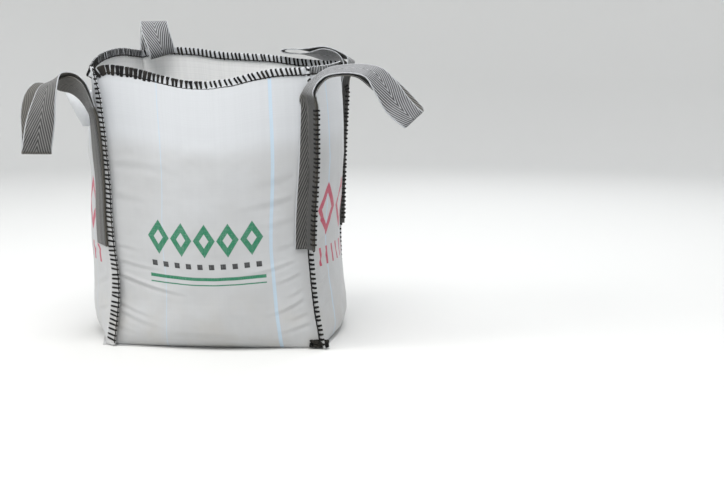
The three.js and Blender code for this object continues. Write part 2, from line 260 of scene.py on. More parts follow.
# %% [markdown]
# The bag's cloth is a plain weave of flat plastic tapes, about two and a half millimetres wide, in a
# cool white. An image could carry the weave, but a drawn one stays sharp at any distance. Each tape gets
# its own slight tone, the over-and-under gives the bump, and a few warp tapes are blue. Below the
# gravel's edge the colour carries painted shade, because the stones behind the thin cloth let less light
# through, and dust gathers near the floor.

# %% Finish of the woven cloth
TAPE = 2.6 * MM
WHITE = (0.56, 0.577, 0.60)
SHADED = (0.455, 0.46, 0.465)
DUST = (0.46, 0.43, 0.38)
TAPE_GREY = (0.40, 0.41, 0.43)
TAPE_BLUE = (0.42, 0.62, 0.80)
WEFT_SEED = 731.5  # keeps the weft's tones from repeating the warp's
FILL_LINE = 495 * MM  # the gravel's edge, measured along the cloth
DUST_TOP = 190 * MM


def bar(cloth, value, middle, size, soft=0.4 * MM, strength=1.0):
    """strength where value lies within size about middle, and 0 beyond."""
    away = cloth.math("ABSOLUTE", cloth.math("SUBTRACT", value, middle))
    return cloth.ramp(away, size / 2 + soft, size / 2 - soft, 0.0, strength)


def shade_and_dirt(cloth, white, place, up):
    """The cloth's colour, with painted shade below the gravel's edge and real dust near the floor."""
    # Painted shade: less light comes through the thin cloth where the stones are behind it.
    below = cloth.ramp(up, FILL_LINE + 25 * MM, FILL_LINE - 40 * MM)
    patches = cloth.ramp(cloth.noise(place, 7, 4), 0.2, 0.75, 0.55, 1.0)
    colour = cloth.mix(cloth.math("MULTIPLY", below, patches), white, SHADED)
    foot = cloth.ramp(up, DUST_TOP, 5 * MM)
    specks = cloth.ramp(cloth.noise(place, 16, 5), 0.35, 0.72, 0.05, 0.42)
    return cloth.mix(cloth.math("MULTIPLY", foot, specks), colour, DUST)


def weave(cloth, colour, across, up):
    """Gives each tape its own tone, and raises it where it passes over the tapes that cross it."""
    counts, tops = [], []
    for way in (across, up):
        counts.append(cloth.math("FLOOR", cloth.math("DIVIDE", way, TAPE)))
        wave = cloth.math("SINE", cloth.math("MULTIPLY", way, math.pi / TAPE))
        tops.append(cloth.math("ABSOLUTE", wave))
    warp, weft = counts
    seeds = (warp, cloth.math("ADD", weft, WEFT_SEED))
    tones = [cloth.node("TexWhiteNoise", None, seed, noise_dimensions="1D").outputs[0] for seed in seeds]
    tone = cloth.ramp(cloth.math("ADD", *tones), 0, 2, 0.0, 0.13)
    cloth.colour(cloth.mix(tone, colour, TAPE_GREY))

    turn = cloth.math("FRACT", cloth.math("MULTIPLY", cloth.math("ADD", warp, weft), 0.5))
    warp_over = cloth.math("GREATER_THAN", turn, 0.25)
    warp_top = cloth.math("MULTIPLY", tops[0], warp_over)
    weft_top = cloth.math("MULTIPLY", tops[1], cloth.math("SUBTRACT", 1.0, warp_over))
    cloth.bump(cloth.math("ADD", warp_top, weft_top), 0.16 * MM, 0.6)


def woven_finish(name, blue_tapes=(), printed=None, white=WHITE):
    """blue_tapes are (place across, width, strength); printed gives the marks as (mask, ink) pairs."""
    cloth = Finish(name, white, 0.56, Sheen_Weight=0.15, Sheen_Roughness=0.4)
    across, up = cloth.flat_place()
    place = cloth.solid_place()
    colour = shade_and_dirt(cloth, white, place, up)
    for middle, width, strength in blue_tapes:
        colour = cloth.mix(bar(cloth, across, middle, width, 0.6 * MM, strength), colour, TAPE_BLUE)
    if printed:
        worn = cloth.ramp(cloth.noise(place, 240, 2), 0.25, 0.45, 0.86, 0.99)
        for mask, ink in printed(cloth, across, up):
            colour = cloth.mix(cloth.math("MULTIPLY", mask, worn), colour, ink)
    weave(cloth, colour, across, up)
    return cloth.material


# %% [markdown]
# The printed marks on the cloth are a plain ornament of this bag's own: on the front a row of green
# lozenges over small black squares and a double line, on the sides crimson lozenges and bars. Each is a
# mask from simple sums on the flat cloth's coordinates, so the print follows every fold.

# %% Printed ornament
GREEN = (0.0, 0.165, 0.075)
BLACK = (0.012, 0.012, 0.013)
CRIMSON = (0.42, 0.006, 0.055)


def repeated(cloth, across, left, pitch, count):
    """The place within its own cell, from the cell's middle, and a mask that is 1 over all the cells."""
    run = cloth.math("DIVIDE", cloth.math("SUBTRACT", across, left), pitch)
    within = cloth.math("MULTIPLY", cloth.math("SUBTRACT", cloth.math("FRACT", run), 0.5), pitch)
    started, not_over = cloth.math("GREATER_THAN", run, 0.0), cloth.math("LESS_THAN", run, float(count))
    return within, cloth.math("MULTIPLY", started, not_over)


def lozenge(cloth, x, y, wide, tall):
    """1 inside a lozenge: there the shares of x and y in its half sizes add up to less than 1."""
    x_share = cloth.math("DIVIDE", cloth.math("ABSOLUTE", x), wide / 2)
    y_share = cloth.math("DIVIDE", cloth.math("ABSOLUTE", y), tall / 2)
    return cloth.ramp(cloth.math("ADD", x_share, y_share), 1.04, 0.98)


def lozenge_row(cloth, across, up, row, middle, outer, inner):
    """Hollow lozenges in a row of (left, pitch, count); outer and inner are (wide, tall)."""
    x, inside = repeated(cloth, across, *row)
    y = cloth.math("SUBTRACT", up, middle)
    ring = cloth.math("SUBTRACT", lozenge(cloth, x, y, *outer), lozenge(cloth, x, y, *inner))
    return cloth.math("MULTIPLY", ring, inside)


def bar_row(cloth, across, up, row, middle, wide, tall):
    """Upright bars in a row of (left, pitch, count)."""
    x, inside = repeated(cloth, across, *row)
    bars = cloth.math("MULTIPLY", bar(cloth, x, 0.0, wide), bar(cloth, up, middle, tall))
    return cloth.math("MULTIPLY", bars, inside)


def front_print(cloth, across, up):
    left, pitch, count = 112 * MM, 57 * MM, 5
    lozenges = lozenge_row(
        cloth, across, up, (left, pitch, count),
        middle=272 * MM, outer=(53 * MM, 82 * MM), inner=(23 * MM, 35 * MM),
    )
    squares = bar_row(cloth, across, up, (left, pitch / 2, 2 * count), 208 * MM, 13 * MM, 13 * MM)
    thick, thin = bar(cloth, up, 178 * MM, 8 * MM), bar(cloth, up, 163 * MM, 3 * MM)
    long = bar(cloth, across, left + pitch * count / 2, pitch * count)
    lines = cloth.math("MULTIPLY", cloth.math("ADD", thick, thin), long)
    return [(lozenges, GREEN), (squares, BLACK), (lines, GREEN)]


def side_print(cloth, across, up):
    left, pitch, count = 52 * MM, 132 * MM, 3
    lozenges = lozenge_row(
        cloth, across, up, (left, pitch, count),
        middle=318 * MM, outer=(118 * MM, 128 * MM), inner=(70 * MM, 76 * MM),
    )
    bars = bar_row(cloth, across, up, (left, pitch / 3, 3 * count), 205 * MM, 13 * MM, 44 * MM)
    return [(lozenges, CRIMSON), (bars, CRIMSON)]


# %% Cloth finishes of the panels
FRONT_TAPES = [(151 * MM, 2.5 * MM, 0.35), (413 * MM, 8 * MM, 0.52)]
SIDE_TAPES = [(118 * MM, 7 * MM, 0.5), (392 * MM, 2.5 * MM, 0.35)]
BACK_TAPES = [(128 * MM, 2.5 * MM, 0.35), (385 * MM, 8 * MM, 0.55)]
INSIDE_WHITE = (0.93, 0.93, 0.925)  # painted light: lighter than the outside, for the daylight that comes through the cloth

front_finish = woven_finish("woven_front", FRONT_TAPES, front_print)
side_finish = woven_finish("woven_side", SIDE_TAPES, side_print)
back_finish = woven_finish("woven_back", BACK_TAPES)
plain_finish = woven_finish("woven_plain")
inside_finish = woven_finish("woven_inside", white=INSIDE_WHITE)

# %% [markdown]
# The seams and the mouth are sewn with thick black yarn. It is many fine strands, so a wave with some
# distortion breaks up its gloss, and patches of dust lighten it.

# %% Finish of the yarn
YARN_DARK = (0.007, 0.007, 0.008)
YARN_DUSTY = (0.030, 0.027, 0.023)


def yarn_finish():
    yarn = Finish("black_yarn", (0.018, 0.017, 0.017), 0.8, Specular_IOR_Level=0.2)
    place = yarn.solid_place()
    patchy = yarn.ramp(yarn.noise(place, 55, 3), 0.35, 0.75)
    yarn.colour(yarn.mix(patchy, YARN_DARK, YARN_DUSTY))
    strands = yarn.node("TexWave", place, 420.0, 3.0, 2.0, bands_direction="DIAGONAL")
    yarn.bump(strands.outputs["Fac"], 0.3 * MM, 0.7)
    return yarn.material


yarn = yarn_finish()

# %% [markdown]
# The loops are grey webbing with a dark herringbone and a pale edge. The herringbone is worked out from
# the webbing's own coordinates, which makes the slanted lines meet in its middle whatever way the loop
# turns. Two attributes are read as well: "facing", how far a point's upper face looks up, and "sewn", how
# much painted shade a point gets along the sewn legs and over some free runs. The colour carries painted
# shade: the webbing is darker where it looks down and where it is sewn. It is darkest on the seam, where
# the dark yarn covers it and more painted shade is added.

# %% Finish of the webbing
WEB_WIDE = 70 * MM
TWILL_ACROSS = 5.8 * MM
TWILL_ALONG = 16 * MM
WEFT_PITCH = 1.8 * MM
# Painted shade: the light yarn in shade, the seam half under the dark yarn with more shade, and the dark
# yarn in shade.
WEB_SHADED = (0.092, 0.085, 0.070)
WEB_SEAM_YARN_AND_SHADE = (0.032, 0.031, 0.028)
WEB_DARK_YARN_SHADED = (0.008, 0.008, 0.007)
WEB_EDGE = (0.55, 0.57, 0.60)
SEAM_HALF = 4 * MM  # the half on the seam is at -across, and reaches a little past the middle


def webbing_finish(name, light, dark, facing_down):
    """light and dark are the two yarns; facing_down is what "facing" says where the face looks down."""
    webbing = Finish(name, light, 0.66, Sheen_Weight=0.2, Sheen_Roughness=0.5)
    across, along = webbing.flat_place()
    from_middle = webbing.math("ABSOLUTE", across)
    slant_across = webbing.math("DIVIDE", from_middle, TWILL_ACROSS)
    slant_along = webbing.math("DIVIDE", along, TWILL_ALONG)
    slanted = webbing.math("SUBTRACT", slant_across, slant_along)
    wave = webbing.math("SINE", webbing.math("MULTIPLY", slanted, math.tau))
    lines = webbing.ramp(wave, -0.55, -0.05)

    facing = webbing.node("Attribute", attribute_name="facing").outputs["Fac"]
    sewn = webbing.node("Attribute", attribute_name="sewn").outputs["Fac"]
    # Painted shade where the face looks down and along the sewn legs, and on the seam half the dark
    # yarn's cover with more painted shade.
    low = webbing.ramp(facing, 0.1 * facing_down, 0.7 * facing_down)
    on_seam = webbing.math("LESS_THAN", across, SEAM_HALF)
    seam_yarn_and_shade = webbing.math("MULTIPLY", webbing.ramp(sewn, 0.66, 0.75), on_seam)
    shade = webbing.math("MAXIMUM", low, sewn)

    worn = webbing.ramp(webbing.noise(webbing.solid_place(), 30, 4), 0.3, 0.8, 1.0, 0.8)
    lighter = webbing.mix(seam_yarn_and_shade, webbing.mix(shade, light, WEB_SHADED), WEB_SEAM_YARN_AND_SHADE)
    darker = webbing.mix(shade, dark, WEB_DARK_YARN_SHADED)
    colour = webbing.mix(webbing.math("MULTIPLY", lines, worn), lighter, darker)
    edge = webbing.ramp(from_middle, WEB_WIDE / 2 - 2.6 * MM, WEB_WIDE / 2 - 1.6 * MM, 0.0, 0.75)
    # The pale edge takes the same painted shade.
    piping = webbing.mix(webbing.math("MAXIMUM", low, seam_yarn_and_shade), WEB_EDGE, WEB_SHADED)
    webbing.colour(webbing.mix(edge, colour, piping))

    weft = webbing.math("SINE", webbing.math("MULTIPLY", along, math.tau / WEFT_PITCH))
    relief = webbing.math("SUBTRACT", webbing.math("MULTIPLY", weft, 0.25), wave)
    webbing.bump(relief, 0.35 * MM, 0.6)
    return webbing.material


# The under face is a darker, more olive copy of the upper one: painted shade, with a tone of dirt.
webbing_upper = webbing_finish("webbing_upper", (0.33, 0.335, 0.35), (0.028, 0.028, 0.030), -1)
webbing_under_shaded = webbing_finish("webbing_under_shaded", (0.19, 0.185, 0.17), (0.022, 0.021, 0.019), 1)

# %% [markdown]
# The sheet under the front left loop is blank, and smooth but for fine fibres. The gravel is crushed
# grey stone: each stone has a tone of its own, which its points carry as an attribute, with pale specks
# and a rough surface. The bed under the stones is darker, because little light gets between them.

# %% Finish of the blank sheet
LABEL_WHITE = (0.92, 0.945, 0.97)
LABEL_GREY = (0.68, 0.70, 0.73)

label_finish = Finish("blank_sheet", LABEL_WHITE, 0.42)
fibres = label_finish.noise(label_finish.solid_place(), 220, 4)
streaks = label_finish.ramp(fibres, 0.3, 0.8, 0, 0.12)
label_finish.colour(label_finish.mix(streaks, LABEL_WHITE, LABEL_GREY))
label_finish.bump(fibres, 0.2 * MM, 0.4)

# %% Finish of the crushed stone
STONE_DARK = (0.13, 0.15, 0.16)
STONE_LIGHT = (0.40, 0.43, 0.44)
STONE_SPECKS = (0.5, 0.5, 0.48)


def stone_finish(name, brightness):
    stone = Finish(name, (0.25, 0.27, 0.28), 0.86)
    place = stone.solid_place()
    each = stone.node("Attribute", attribute_name="tone").outputs["Fac"]
    tones = [tuple(brightness * part for part in tone) for tone in (STONE_DARK, STONE_LIGHT)]
    speckle = stone.ramp(stone.noise(place, 900, 3), 0.5, 0.75, 0.0, 0.35)
    stone.colour(stone.mix(speckle, stone.mix(each, *tones), STONE_SPECKS))
    stone.bump(stone.noise(place, 500, 5), 0.8 * MM, 0.6)
    return stone.material


stone_surface = stone_finish("crushed_stone", 1.0)
stone_bed = stone_finish("crushed_stone_bed", 0.55)

# %% [markdown]
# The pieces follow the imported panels, so the model is read first. Between a few measured heights the
# shapes have to stay smooth, and a cubic curve through the measured values does that for numbers and for
# points alike.

# %% Smooth curves
def curve_through(knots):
    """A smooth curve through (position, value) pairs, which runs on straight past its ends."""
    at = [position for position, _ in knots]
    value = [value for _, value in knots]
    last = len(at) - 1

    def slope(i):
        before, after = max(i - 1, 0), min(i + 1, last)
        return (value[after] - value[before]) / (at[after] - at[before])

    slopes = [slope(i) for i in range(last + 1)]

    def evaluate(x):
        if x <= at[0]:
            return value[0] + slopes[0] * (x - at[0])
        if x >= at[last]:
            return value[last] + slopes[last] * (x - at[last])
        i = min(bisect(at, x) - 1, last - 1)
        span = at[i + 1] - at[i]
        t = (x - at[i]) / span
        run = slopes[i] * (t * (1 - t) ** 2 * span) - slopes[i + 1] * (t * t * (1 - t) * span)
        return value[i] * ((1 + 2 * t) * (1 - t) ** 2) + value[i + 1] * (t * t * (3 - 2 * t)) + run

    return evaluate


def smoothly(x, low, high):
    """0 below low and 1 above high, with soft ends; low may be the greater one."""
    t = min(max((x - low) / (high - low), 0), 1)
    return t * t * (3 - 2 * t)


# %% [markdown]
# At each corner the edges of two panels are turned out and sewn together, which leaves a standing seam.
# The model has a thin strip there, turned out at a known angle, and its inner points give the corner
# itself at each height. How far the seam stands out is given at a few heights: it is widest where
# it carries webbing, and it gets narrower under the mouth's edge.

# %% Read the corner seams
SEAM_THICK = 2 * MM


def spaced(low, high, steps):
    """Even steps from low to high, with both ends."""
    return [low + (high - low) * i / steps for i in range(steps + 1)]


class Seam:
    """A corner's turned-out seam: where its root is at a height, and its outward and sideways directions.

    angle is the outward direction in degrees, and start is how far out the model's strip begins. reaches
    are (height, how far the seam stands out), and web_on_seam is how much of the webbing lies on it at a
    height, up to web_head, all in millimetres.
    """

    def __init__(self, name, angle, start, reaches, web_on_seam, web_head):
        self.name = name
        self.reaches = [(height * MM, reach * MM) for height, reach in reaches]
        self.web_curve = curve_through([(height * MM, width * MM) for height, width in web_on_seam])
        self.web_head = web_head * MM
        self.out = Vector((math.cos(math.radians(angle)), math.sin(math.radians(angle)), 0))
        self.left = UP.cross(self.out)
        levels = {}
        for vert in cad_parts["corner_stitching_" + name].data.vertices:
            point = tuple(round(part, 5) for part in vert.co)
            levels.setdefault(round(vert.co.z, 4), set()).add(point)
        roots = []
        for height in sorted(levels):
            points = sorted((Vector(p) for p in levels[height]), key=self.out.dot)
            inner = min(points[:2], key=self.left.dot)
            roots.append((height, inner - self.out * (start * MM)))
        self.root = curve_through(roots)

    def reach(self, height):
        """How far the seam stands out at a height."""
        last = len(self.reaches) - 1
        i = min(max(bisect(self.reaches, (height,)) - 1, 0), last - 1)
        (low, one), (high, two) = self.reaches[i : i + 2]
        return one + (two - one) * smoothly(height, low, high)

    def web_on_seam(self, height):
        return self.web_curve(min(height, self.web_head))

    def point(self, height, out, left):
        return self.root(height) + self.out * out + self.left * left


# %% The four seams
SEAMS = [
    Seam(
        "front_left", -38, 10,
        reaches=[(0, 33), (105, 32), (190, 27), (338, 24), (443, 24), (500, 27), (570, 29), (650, 13)],
        web_on_seam=[(0, 6), (338, 6), (443, 11), (524, 13)],
        web_head=524,
    ),
    Seam(
        "front_right", -58, 0.8,
        reaches=[
            (0, 21), (222, 22), (242, 41), (375, 42), (490, 48), (555, 53), (600, 24), (630, 9), (650, 9),
        ],
        web_on_seam=[(0, 39), (300, 39), (375, 40), (490, 46), (560, 51)],
        web_head=560,
    ),
    Seam(
        "back_right", 45, 0.8,
        reaches=[(0, 24), (222, 24), (242, 33), (575, 33), (625, 9), (655, 9)],
        web_on_seam=[(0, 30), (650, 30)],
        web_head=600,
    ),
    Seam(
        "back_left", 135, 0.8,
        reaches=[(0, 24), (222, 24), (242, 33), (590, 33), (645, 9), (680, 9)],
        web_on_seam=[(0, 30), (650, 30)],
        web_head=620,
    ),
]
for seam in SEAMS:
    print(seam.name, "root at 100 mm", [round(part, 3) for part in seam.root(0.1)])
    print("reach there", round(seam.reach(0.1), 3))

# %% [markdown]
# A panel bulges between its two corners under the stones' weight. Its fullness is greatest in the middle
# and fades towards the seams, so one measured depth at each height is enough to give the whole panel.
# Rays against the model's panel measure the depth, and its top edge at several places across.

# %% Read the panels
FULLNESS = 1.25  # the power that fades the bulge towards the seams
DEPTH_HEIGHTS = [h * MM for h in (2, 12, 28, 48, 80, 130, 180, 232, 296, 360, 424, 488, 520, 560, 600)]
TOP_HEIGHTS = [h * MM for h in range(560, 720)]  # where a panel's top edge is looked for
TOP_STEPS = 20  # across a panel, at which its top edge is measured
TOP_INSET = 0.985  # keeps the outermost rays on the panel
RAY_START = 0.3  # out of the panel


def rays_against(mesh):
    """A tree that rays can be cast against."""
    skin = bmesh.new()
    skin.from_mesh(mesh)
    tree = BVHTree.FromBMesh(skin)
    skin.free()
    return tree


class Wall:
    """One panel. u runs from -1 at its own corner to 1 at the next one, counter-clockwise from above.

    webbing is how much of it the webbing covers, beside the next corner. fuller are (height, how much
    further than the model's panel it bulges), in millimetres.
    """

    def __init__(self, node, start, end, webbing, fuller=((0, 0), (1, 0))):
        self.start, self.end, self.webbing = start, end, webbing
        self.fuller = curve_through([(height * MM, depth * MM) for height, depth in fuller])
        self.corners = {}
        self.tree = rays_against(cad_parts[node].data)
        self.depth = curve_through([(height, self.hit(0.0, height)) for height in DEPTH_HEIGHTS])
        tops = [(u, self.measured_top(u * TOP_INSET)) for u in spaced(-1, 1, TOP_STEPS)]
        self.top = curve_through(tops)

    def ends(self, height):
        """The two corners at a height, and the horizontal direction out of the panel."""
        key = round(height, 6)
        if key not in self.corners:
            a, b = self.start.root(height), self.end.root(height)
            self.corners[key] = a, b, Vector((b.y - a.y, a.x - b.x, 0)).normalized()
        return self.corners[key]

    def hit(self, u, height):
        """How far the panel's outer face stands out of the straight line between its corners, or None."""
        a, b, out = self.ends(height)
        base = a.lerp(b, (u + 1) / 2)
        base.z = height
        found = self.tree.ray_cast(base + out * RAY_START, -out)[0]
        return None if found is None else (found - base).dot(out)

    def measured_top(self, u):
        return max(h for h in TOP_HEIGHTS if self.hit(u, h) is not None)

    def surface(self, u, height):
        """A point on the panel's outer face."""
        a, b, out = self.ends(height)
        depth = self.depth(height) + self.fuller(height)
        point = a.lerp(b, (u + 1) / 2) + out * (depth * (1 - u * u) ** FULLNESS)
        point.z = height
        return point


# %% The four walls
FRONT_LEFT, FRONT_RIGHT, BACK_RIGHT, BACK_LEFT = SEAMS
WALLS = {
    "front": Wall("front_panel", FRONT_LEFT, FRONT_RIGHT, 30 * MM),
    "right": Wall("right_panel", FRONT_RIGHT, BACK_RIGHT, 40 * MM),
    "back": Wall("back_panel", BACK_RIGHT, BACK_LEFT, 40 * MM),
    "left": Wall(
        "left_panel", BACK_LEFT, FRONT_LEFT, 58 * MM,
        fuller=[(0, 0), (300, 0), (385, -3), (443, 6), (500, 8), (560, 6), (640, 0), (700, 0)],
    ),
}
for name, wall in WALLS.items():
    print(name, "bulge at 160 mm", round(wall.depth(0.16), 3), "top in the middle", round(wall.top(0), 3))

# %% [markdown]
# Cloth, webbing and bands all start as a flat grid that is bent into shape, because a grid keeps the
# order of a woven thing: its columns and rows carry straight over to the coordinates of the finish. Two
# more helpers turn a mesh into a piece of the bag and give a sheet its thickness.

# %% Bent sheets and pieces
def lay_flat(bm, spot):
    """Writes the finish's own coordinates: spot gives each vertex its place on the flat cloth."""
    layer = bm.loops.layers.uv.new("flat")
    for face in bm.faces:
        for loop in face.loops:
            loop[layer].uv = spot(loop.vert)


def bent_sheet(columns, rows, place, flat):
    """A grid bent into shape: place and flat give each column and row its point and its flat spot."""
    bm = bmesh.new()
    bmesh.ops.create_grid(bm, x_segments=columns, y_segments=rows, size=1)
    spots = {}
    for vert in bm.verts:
        i = round((vert.co.x + 1) / 2 * columns)
        j = round((vert.co.y + 1) / 2 * rows)
        spots[vert] = flat(i, j)
        vert.co = place(i, j)
    lay_flat(bm, spots.get)
    return bm


def piece(bm, name, slot, node, *finishes, smooth=True):
    """A finished piece of the bag, which stands for the named node of the model."""
    mesh = mesh_from(bm, name)
    if smooth:
        mesh.shade_smooth()
    for finish in finishes:
        mesh.materials.append(finish)
    obj = bpy.data.objects.new(name, mesh)
    bpy.context.scene.collection.objects.link(obj)
    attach(obj, "root")
    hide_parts(node)
    print(name, len(mesh.polygons), "faces")
    return obj


def thicken(obj, thickness, offset=-1.0, under_material=0):
    solidify = obj.modifiers.new("thickness", "SOLIDIFY")
    solidify.thickness = thickness
    solidify.offset = offset
    solidify.material_offset = under_material


# %% [markdown]
# A full bag is never smooth. Stones press small lumps into the cloth, and folds run out from the seams,
# where four layers are drawn together. A fold is a valley with a ridge along its upper side, and it
# fades at both ends. They are listed one by one, each from one point to another on its panel, with its
# depth, width and sag, because a fold that starts at a stitch looks sewn.

# %% Folds and lumps
FOLD_REACH = 4  # how many of its widths away a fold still moves the cloth
RIDGE_AWAY = 1.4  # from a fold's valley to its ridge, in widths
RIDGE_SHARE = 0.7  # the ridge's height as a share of the valley's depth
LUMPS = [(24, 1.5 * MM), (62, 0.5 * MM)]  # how fine they are, and how high
LUMPS_END = 530 * MM
LUMPS_FULL = 440 * MM


def fold_depth(across, height, fold):
    """How far one fold moves the cloth at a place on its panel, in millimetres."""
    (x0, z0), (x1, z1), depth, width, sag = fold
    dx, dz = x1 - x0, z1 - z0
    length = math.hypot(dx, dz)
    run = ((across - x0) * dx + (height - z0) * dz) / length**2
    if not 0 < run < 1:
        return 0.0
    away = ((height - z0) * abs(dx) - (across - x0) * dz * math.copysign(1, dx)) / length
    away = (away + sag * 4 * run * (1 - run)) / width  # the sag is full halfway along
    if abs(away) > FOLD_REACH:
        return 0.0
    fade = smoothly(run, 0, 0.2) * smoothly(run, 1, 0.3)
    return depth * fade * (RIDGE_SHARE * math.exp(-((away - RIDGE_AWAY) ** 2)) - math.exp(-(away**2)))


def lumps(point):
    """What the stones inside press out, fading above the fill."""
    pressed = sum(noise.noise(point * fineness) * height for fineness, height in LUMPS)
    return pressed * smoothly(point.z, LUMPS_END, LUMPS_FULL)


# %% Where the folds are
# Folds as (start, end, depth, width, sag), in millimetres: starts and ends are across from the panel's
# middle and up.
FRONT_FOLDS = [
    ((-238, 202), (-70, 180), 2.8, 4.5, 5),
    ((-236, 168), (-30, 122), 5.4, 4.5, 5),
    ((-240, 238), (-140, 222), 1.4, 6, 3),
    ((-238, 104), (-120, 66), 2.2, 5, 4),
    ((-238, 84), (-90, 40), 1.8, 6, 4),
    ((-240, 50), (-150, 24), 1.4, 5, 3),
    ((-236, 420), (-40, 402), 2.2, 11, -4),
    ((-232, 352), (-110, 330), 1.2, 9, 2),
    ((228, 206), (60, 166), 2.4, 5, 7),
    ((232, 176), (140, 146), 2.6, 4.5, 6),
    ((234, 138), (168, 112), 1.8, 5, 4),
    ((236, 116), (120, 72), 2.8, 5, 7),
    ((240, 82), (170, 60), 1.6, 5, 3),
    ((244, 60), (136, 30), 2.2, 5, 4),
    ((228, 246), (150, 222), 1.2, 7, 4),
    ((226, 352), (60, 318), 2.0, 9, 8),
    ((226, 300), (110, 276), 1.2, 9, 6),
    ((224, 402), (90, 372), 1.4, 11, 8),
    ((-120, 30), (120, 24), 1.2, 7, -4),
]
RIGHT_FOLDS = [
    ((-238, 262), (-120, 300), 2.6, 7, -4),
    ((-238, 214), (-100, 262), 2.6, 7, -4),
    ((-238, 168), (-90, 214), 2.0, 8, -4),
    ((-240, 118), (-100, 158), 2.4, 8, -4),
    ((-240, 70), (-120, 100), 1.8, 7, -3),
    ((-236, 340), (-130, 366), 1.6, 9, -3),
    ((238, 282), (110, 300), 2.0, 8, 4),
    ((238, 190), (90, 176), 2.4, 8, 6),
    ((240, 120), (120, 92), 2.0, 7, 5),
    ((236, 420), (60, 402), 1.6, 11, 6),
    ((-60, 34), (160, 26), 1.4, 7, -4),
]
BACK_FOLDS = [
    ((-238, 226), (-70, 190), 2.4, 8, 6),
    ((-238, 150), (-90, 110), 2.6, 7, 6),
    ((-240, 86), (-120, 56), 1.8, 7, 4),
    ((-236, 372), (-30, 352), 1.8, 11, 6),
    ((238, 258), (90, 222), 2.0, 8, 6),
    ((238, 176), (100, 142), 2.6, 7, 6),
    ((240, 108), (70, 82), 1.8, 8, 6),
    ((236, 410), (80, 398), 1.6, 11, 4),
    ((-120, 30), (140, 26), 1.2, 7, -4),
]
LEFT_FOLDS = [
    ((-238, 300), (-80, 270), 1.8, 8, 6),
    ((-238, 184), (-60, 150), 2.6, 7, 6),
    ((-240, 112), (-110, 76), 2.0, 7, 4),
    ((238, 232), (70, 204), 2.4, 7, 6),
    ((238, 158), (90, 116), 2.6, 7, 6),
    ((240, 88), (120, 60), 1.8, 7, 4),
    ((236, 396), (40, 380), 1.6, 11, 6),
    ((-130, 34), (120, 28), 1.2, 7, -4),
]

# %% [markdown]
# Each panel is one cloth: a seam allowance at each side, turned out at the corner, and the bulging wall
# between them. In flat cloth the panel is a rectangle, half a metre wide without its allowances, and its
# weft is level where it was cut, so the rows share out the height up to the panel's own top edge.

# %% Panel cloths
CLOTH_THICK = 0.8 * MM
CLOTH_FOOT = 1.6 * MM
WEB_FOOT = 232 * MM  # where the webbing that is sewn on begins
PANEL_FLAT = 500 * MM
PANEL_TALL = 660 * MM
PANEL_ROWS = 176
WALL_COLUMNS = 131
WALL_EDGE = 0.988  # u of the first wall column, a few millimetres from the corner
ALLOWANCE_SHARES = (1.0, 0.8, 0.6, 0.42, 0.26, 0.12)
SEAM_HOLD = 18 * MM  # how far from a seam its hold on the cloth fades


def free_share(wall, u, height):
    """1 where the cloth is free to move, and 0 at the seams and under the webbing that is sewn on it."""
    from_start, from_end = (1 + u) * PANEL_FLAT / 2, (1 - u) * PANEL_FLAT / 2
    free = smoothly(min(from_start, from_end), 0, SEAM_HOLD)
    beside = smoothly(from_end, wall.webbing - 4 * MM, wall.webbing + 12 * MM)
    below = smoothly(height, WEB_FOOT - 4 * MM, WEB_FOOT - 24 * MM)
    return free * max(beside, below)


def wall_point(wall, u, height, folds):
    """A point on the outside of a panel's cloth, with its folds and lumps."""
    base = wall.surface(u, height)
    across = u * PANEL_FLAT / 2
    depth = sum(fold_depth(across / MM, height / MM, fold) for fold in folds) * MM
    return base + wall.ends(height)[2] * ((depth + lumps(base)) * free_share(wall, u, height))


def panel_cloth(side, folds, finish):
    wall = WALLS[side]
    spots = [("start", share) for share in ALLOWANCE_SHARES]
    spots += [("wall", u) for u in spaced(-WALL_EDGE, WALL_EDGE, WALL_COLUMNS - 1)]
    spots += [("end", share) for share in reversed(ALLOWANCE_SHARES)]

    def place(i, j):
        part, value = spots[i]
        u = {"start": -1, "end": 1}.get(part, value)
        height = CLOTH_FOOT + (wall.top(u) - CLOTH_FOOT) * j / PANEL_ROWS
        if part == "wall":
            return wall_point(wall, u, height, folds)
        seam, left = (wall.start, SEAM_THICK) if part == "start" else (wall.end, 0)
        return seam.point(height, value * seam.reach(height), left)

    def flat(i, j):
        part, value = spots[i]
        across = {
            "start": -value * wall.start.reach(0),
            "wall": (value + 1) / 2 * PANEL_FLAT,
            "end": PANEL_FLAT + value * wall.end.reach(0),
        }
        return across[part], PANEL_TALL * j / PANEL_ROWS

    bm = bent_sheet(len(spots) - 1, PANEL_ROWS, place, flat)
    cloth = piece(bm, side + "_cloth", "woven_fabric", side + "_panel", finish, inside_finish)
    thicken(cloth, CLOTH_THICK, under_material=1)
    allowances = wall.start.reach(0) + wall.end.reach(0)


panel_cloth("front", FRONT_FOLDS, front_finish)
panel_cloth("right", RIGHT_FOLDS, side_finish)
panel_cloth("back", BACK_FOLDS, back_finish)
panel_cloth("left", LEFT_FOLDS, side_finish)

# %% [markdown]
# The base is one more cloth, sewn to the feet of the walls with its edge turned outwards, so it shows as
# a thin border all round. A disc that is pulled into the outline of the walls' feet makes it; an inset
# gives the ring of faces that the border needs.

# %% Base cloth
BASE_BORDER = 8 * MM
BASE_STEPS = 40  # round each of the four sides
BASE_LEVEL = 1.0 * MM


def foot_outline():
    """The outside of the walls' feet, counter-clockwise from the front left corner."""
    places = spaced(-1, 1, BASE_STEPS)[:-1]
    return [wall.surface(u, CLOTH_FOOT) for wall in WALLS.values() for u in places]


